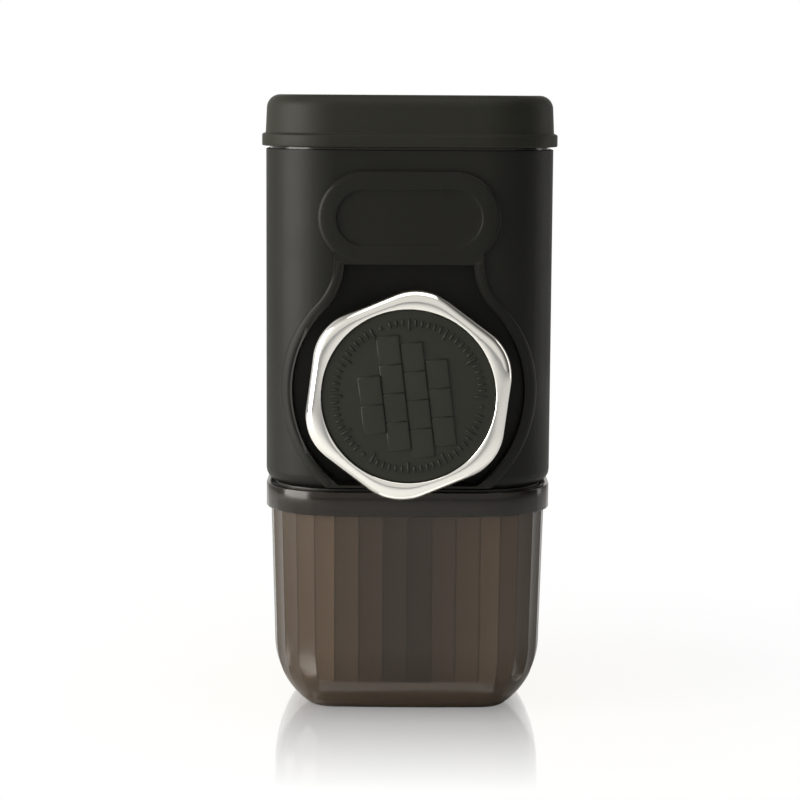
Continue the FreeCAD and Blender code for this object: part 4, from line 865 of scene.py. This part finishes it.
def bend_levels(wall, floor, steps, top):
    """Insets and levels from the floor round the foot and up the leaning wall."""
    radius = BEND_RADIUS - wall
    inset = SIDE_INSET + wall + LEAN * (collar_low - BEND_TOP)
    sweep = math.asin((BEND_TOP - floor) / radius)
    levels = []
    for step in range(steps + 1):
        angle = sweep * (1 - step / steps)
        levels.append((inset + radius * (1 - math.cos(angle)), BEND_TOP - radius * math.sin(angle)))
    levels.append((SIDE_INSET + wall, top))
    return levels


def faceted_at(level):
    """How far the facets are developed at a level."""
    return min(1, max(0, (level - FACETS_FROM) / FACETS_OVER))


outer = bend_levels(0, cup_low, 22, collar_low - 0.25)
inner = bend_levels(CUP_WALL, cup_low + CUP_FLOOR, 16, collar_low - 0.25)
collar = [(2.85, cup_high - 5.1), (2.05, cup_high - 5.1), (2.0, cup_high - 4.9)]
collar += [(2.0, cup_high - 0.2), (1.8, cup_high), (0.3, cup_high), (0.08, cup_high - 0.1)]
collar += [(0, cup_high - 0.35), (0, collar_low + 0.35), (0.1, collar_low + 0.1)]
collar += [(0.35, collar_low)]
outlines = [(inner[0][0] + 12, inner[0][1], 0, CROWN)]
outlines += [(inset, level, 0, CROWN) for inset, level in inner]
outlines += [(inset, level, 0, 0) for inset, level in collar]
outlines += [(0.8, collar_low, 0, 0.1)]
first_outer = len(outlines)
outlines += [(inset, level, faceted_at(level), CROWN) for inset, level in outer[::-1]]
outlines += [(outer[0][0] + 8, cup_low, 0, CROWN)]
rings = [cup_ring(*outline) for outline in outlines]
around = len(rings[0])
sharp_down_to = first_outer + sum(1 for inset, level in outer if level > SHARP_FROM) - 1
cup = loft(
    "faceted_cup", rings, smoked_clear,
    sharp_columns=[(first_outer, sharp_down_to, range(0, around, FACET_STEPS))],
    sharp_rows=[first_outer],
)
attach(cup, "cup")
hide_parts("cup")
print("cup:", len(rings), "outlines of", around, "points")

# %% [markdown]
# Seen through the tinted plastic, every facet gets painted light of its own: painted shade, darkest
# in the middle of the cup, a painted highlight where the wall turns away, and a painted dark line
# at each joint;
# the foot gets a flat lighter painted tone and the collar nearly the dark base tone.
# The real light path through wall and hollow is too fine to trace here, so each face carries this
# painted light as a value that the smoked plastic mixes into its tone.

# %% Painted light on the facets
TURNS_AWAY = 24.5
DARKEST = 0.22
JOINT_SHARE = 0.45
FOOT_TONE = 0.6
FOOT_TOP = 9
COLLAR_TONE = 0.03

# Each face's value below is painted shade and painted highlight for the facets.
painted_facet_light = cup.data.attributes.new("painted_facet_light", "FLOAT", "CORNER")
middle_x = [point[0] for point in rings[first_outer][2::FACET_STEPS]]
for face in cup.data.polygons:
    column, level = face.index % around, face.center.z / MM
    facet = column // FACET_STEPS
    side = abs(middle_x[facet])
    spread = (side / 24) ** 1.6 if side < TURNS_AWAY else 0.85 - (side - TURNS_AWAY) * 0.06
    tone = DARKEST + 0.85 * spread + (facet * 7 % 5 - 2) * 0.02
    if column % FACET_STEPS in (0, FACET_STEPS - 1):
        tone *= JOINT_SHARE
    if level <= FOOT_TOP:
        tone = FOOT_TONE
    if level > collar_low - 0.4:
        tone = COLLAR_TONE
    for corner in face.loop_indices:
        painted_facet_light.data[corner].value = tone
print("facets:", len(middle_x))

# %% [markdown]
# The knob's ring is a rounded hexagon with a broad soft bevel.
# It is lofted between a circle, for the inset disc, and the hexagon, with both drawn at the
# same angles so that the quads stay even.

# %% Knob ring
KNOB_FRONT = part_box("knob_ring")[0].y / MM
KNOB_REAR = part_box("knob_ring")[1].y / MM
DISC_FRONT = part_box("knob_disc")[0].y / MM
DISC_RADIUS = 22.5
APOTHEM = 25.9
KNOB_CORNER = 14.2
FIRST_CORNER = 22.5
BEVEL_TURNS = (8, 16, 25, 34, 44, 55, 66, 78, 90)
BEVEL_DEPTH = 2.6
BEVEL_INSET = 2.4
SKIRT_RADIUS = 23.5


def hexagon(inset):
    """Points of the rounded hexagon in the knob's plane, round each corner and along a side."""
    points = []
    centre = (APOTHEM - KNOB_CORNER) / math.cos(math.radians(30))
    radius = KNOB_CORNER - inset
    for corner in range(6):
        middle = math.radians(FIRST_CORNER + 60 * corner)
        cx, cz = centre * math.cos(middle), centre * math.sin(middle)
        for step in range(17):
            angle = middle + math.radians(-30 + 60 * step / 16)
            points.append((cx + radius * math.cos(angle), cz + radius * math.sin(angle)))
        after = middle + math.radians(60)
        x0, z0 = points[-1]
        x1 = centre * math.cos(after) + radius * math.cos(after - math.radians(30))
        z1 = centre * math.sin(after) + radius * math.sin(after - math.radians(30))
        for step in range(1, 6):
            points.append((x0 + (x1 - x0) * step / 6, z0 + (z1 - z0) * step / 6))
    return points


def hexagon_at(depth, inset):
    """A ring of the knob at a depth, as a hexagon."""
    return [(x, depth, KNOB_Z + z) for x, z in hexagon(inset)]


def circle_at(depth, radius):
    """A ring of the knob at a depth, as a circle with its points where the hexagon has them."""
    angles = [math.atan2(z, x) for x, z in hexagon(0)]
    return [(radius * math.cos(a), depth, KNOB_Z + radius * math.sin(a)) for a in angles]


knob_rings = [
    circle_at(DISC_FRONT + 1.6, DISC_RADIUS + 0.1),
    circle_at(KNOB_FRONT + 0.3, DISC_RADIUS + 0.1),
    circle_at(KNOB_FRONT + 0.08, DISC_RADIUS + 0.18),
    circle_at(KNOB_FRONT, DISC_RADIUS + 0.4),
]
for turn in BEVEL_TURNS:
    a = math.radians(turn)
    depth = KNOB_FRONT + BEVEL_DEPTH * (1 - math.cos(a))
    knob_rings.append(hexagon_at(depth, BEVEL_INSET * (1 - math.sin(a))))
knob_rings += [
    hexagon_at(KNOB_REAR - 0.3, 0.35),
    hexagon_at(KNOB_REAR - 0.08, 0.45),
    hexagon_at(KNOB_REAR, 0.7),
    circle_at(KNOB_REAR, SKIRT_RADIUS + 0.2),
    circle_at(KNOB_REAR - 0.2, SKIRT_RADIUS),
    circle_at(KNOB_REAR - 3.4, SKIRT_RADIUS),
]
knob_ring = loft("plated_knob_ring", knob_rings, chrome_plating, caps=False)
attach(knob_ring, "knob")
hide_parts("knob_ring")
print("knob ring:", len(knob_rings), "outlines of", len(knob_rings[0]), "points")

# %% [markdown]
# The disc in the knob is soft-touch rubber with a small round on its edge.
# It is turned on its axis from a list of radii and depths, as it would be on a lathe.

# %% Knob disc
DISC_SIDES = 96

disc_profile = [
    (0.4, DISC_FRONT + 1.7), (DISC_RADIUS, DISC_FRONT + 1.7),
    (DISC_RADIUS, DISC_FRONT + 0.35), (DISC_RADIUS - 0.1, DISC_FRONT + 0.1),
    (DISC_RADIUS - 0.35, DISC_FRONT + 0.02), (DISC_RADIUS - 0.7, DISC_FRONT),
    (0.4, DISC_FRONT),
]
disc_turn = [2 * math.pi * i / DISC_SIDES for i in range(DISC_SIDES)]
disc_rings = [
    [(radius * math.cos(a), depth, KNOB_Z + radius * math.sin(a)) for a in disc_turn]
    for radius, depth in disc_profile
]
disc = loft("rubber_disc", disc_rings, knob_rubber)
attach(disc, "knob")
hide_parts("knob_disc")
print("disc radius", DISC_RADIUS, "mm")

# %% [markdown]
# The disc carries a ring of short raised ticks, three round dots, and a patch of shallow tilted
# tiles in the middle for grip.
# A bump map would look flat from the side, so every pad is a low mesh, and all are joined into
# one piece.

# %% Raised pads on the disc
DOT_TURNS = (112.5, 232.5, 352.5)
DOT_CLEAR = 7
TICKS = 72
TICK_SPACE = 360 / TICKS
TILE = (5.9, 7.5)
TILE_TILT = math.radians(6.7)
TILE_SHIFT = 1.2
PATCH_RADIUS = 13.6
CRISP_STEPS = ((0, 0), (0.06, 0.6), (0.16, 0.9), (0.35, 1.0))
SOFT_STEPS = ((0, 0), (0.0, 0.72), (0.1, 0.86), (0.35, 1.0))


def pillow(name, width, height, rise, centre, tilt, lean=0, soft=1):
    """A low raised pad with a soft edge, in the plane of the disc; lean lowers its left side."""
    pad_rings = []
    for inset, lift in SOFT_STEPS if lean else CRISP_STEPS:
        half_w = max(0.02, width / 2 - inset * soft)
        half_h = max(0.02, height / 2 - inset * soft)
        corners = ((half_w, half_h), (-half_w, half_h), (-half_w, -half_h), (half_w, -half_h))
        pad_ring = []
        for x, z in corners:
            turned_x = x * math.cos(tilt) - z * math.sin(tilt)
            turned_z = x * math.sin(tilt) + z * math.cos(tilt)
            top = rise + lean * (x / width * 0.75 + z / height * 0.25)
            pad_ring.append((
                centre[0] + turned_x, DISC_FRONT + 0.02 - top * lift,
                KNOB_Z + centre[1] + turned_z,
            ))
        pad_rings.append(pad_ring)
    return loft(name, pad_rings, knob_rubber)


relief = []
for i in range(TICKS):
    degrees = TICK_SPACE * i
    if any(abs((degrees - dot + 180) % 360 - 180) < DOT_CLEAR for dot in DOT_TURNS):
        continue
    a = math.radians(degrees)
    length, middle = (3.0, 18.6) if i % 6 == 0 else (1.8, 19.1)
    spot = (middle * math.cos(a), middle * math.sin(a))
    relief.append(pillow("tick", length, 0.6, 0.5, spot, a))
for column in range(4):
    for row in range(4):
        x = (column - 1.5) * TILE[0] - 0.8
        z = (row - 1.5) * TILE[1] + (TILE_SHIFT if column % 2 else -TILE_SHIFT)
        if math.hypot(x, z) > PATCH_RADIUS:
            continue
        spot = (
            x * math.cos(TILE_TILT) - z * math.sin(TILE_TILT),
            x * math.sin(TILE_TILT) + z * math.cos(TILE_TILT),
        )
        relief.append(pillow("tile", *TILE, 0.36, spot, TILE_TILT, lean=0.55, soft=3.2))
for dot in DOT_TURNS:
    a = math.radians(dot)
    relief.append(pillow("dot", 1.0, 1.0, 0.34, (19 * math.cos(a), 19 * math.sin(a)), a))
bpy.ops.object.select_all(action="DESELECT")
for pad in relief:
    pad.select_set(True)
bpy.context.view_layer.objects.active = relief[0]
bpy.ops.object.join()
relief[0].name = "disc_relief"
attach(relief[0], "knob")
print("relief pads:", len(relief))

# %% [markdown]
# A steel spring pushes the knob out from the cylinder cap.
# It is one helix of 1.4 mm wire.
# A curve with a bevel would draw it too, but a mesh can be stretched point by point.

# %% Return spring
WIRE_RADIUS = 0.7
WIRE_SIDES = 10
COIL_RADIUS = 12.3
COIL_TURNS = 7
STEPS_A_TURN = 32

spring_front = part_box("return_spring")[0].y / MM
spring_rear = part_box("return_spring")[1].y / MM
wire_turn = [2 * math.pi * k / WIRE_SIDES for k in range(WIRE_SIDES)]
wire_rings = []
for step in range(COIL_TURNS * STEPS_A_TURN + 1):
    share = step / (COIL_TURNS * STEPS_A_TURN)
    angle = 2 * math.pi * COIL_TURNS * share
    depth = spring_rear - WIRE_RADIUS - (spring_rear - spring_front - 2 * WIRE_RADIUS) * share
    out = Vector((math.cos(angle), 0, math.sin(angle)))
    back = Vector((0, 1, 0))
    centre = out * COIL_RADIUS + Vector((0, depth, KNOB_Z))
    wire_rings.append([
        centre + out * WIRE_RADIUS * math.cos(a) + back * WIRE_RADIUS * math.sin(a)
        for a in wire_turn
    ])
spring = loft("return_spring_wire", wire_rings, turned_steel)
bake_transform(spring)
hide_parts("return_spring")
print("spring:", COIL_TURNS, "turns over", round(spring_rear - spring_front, 1), "mm")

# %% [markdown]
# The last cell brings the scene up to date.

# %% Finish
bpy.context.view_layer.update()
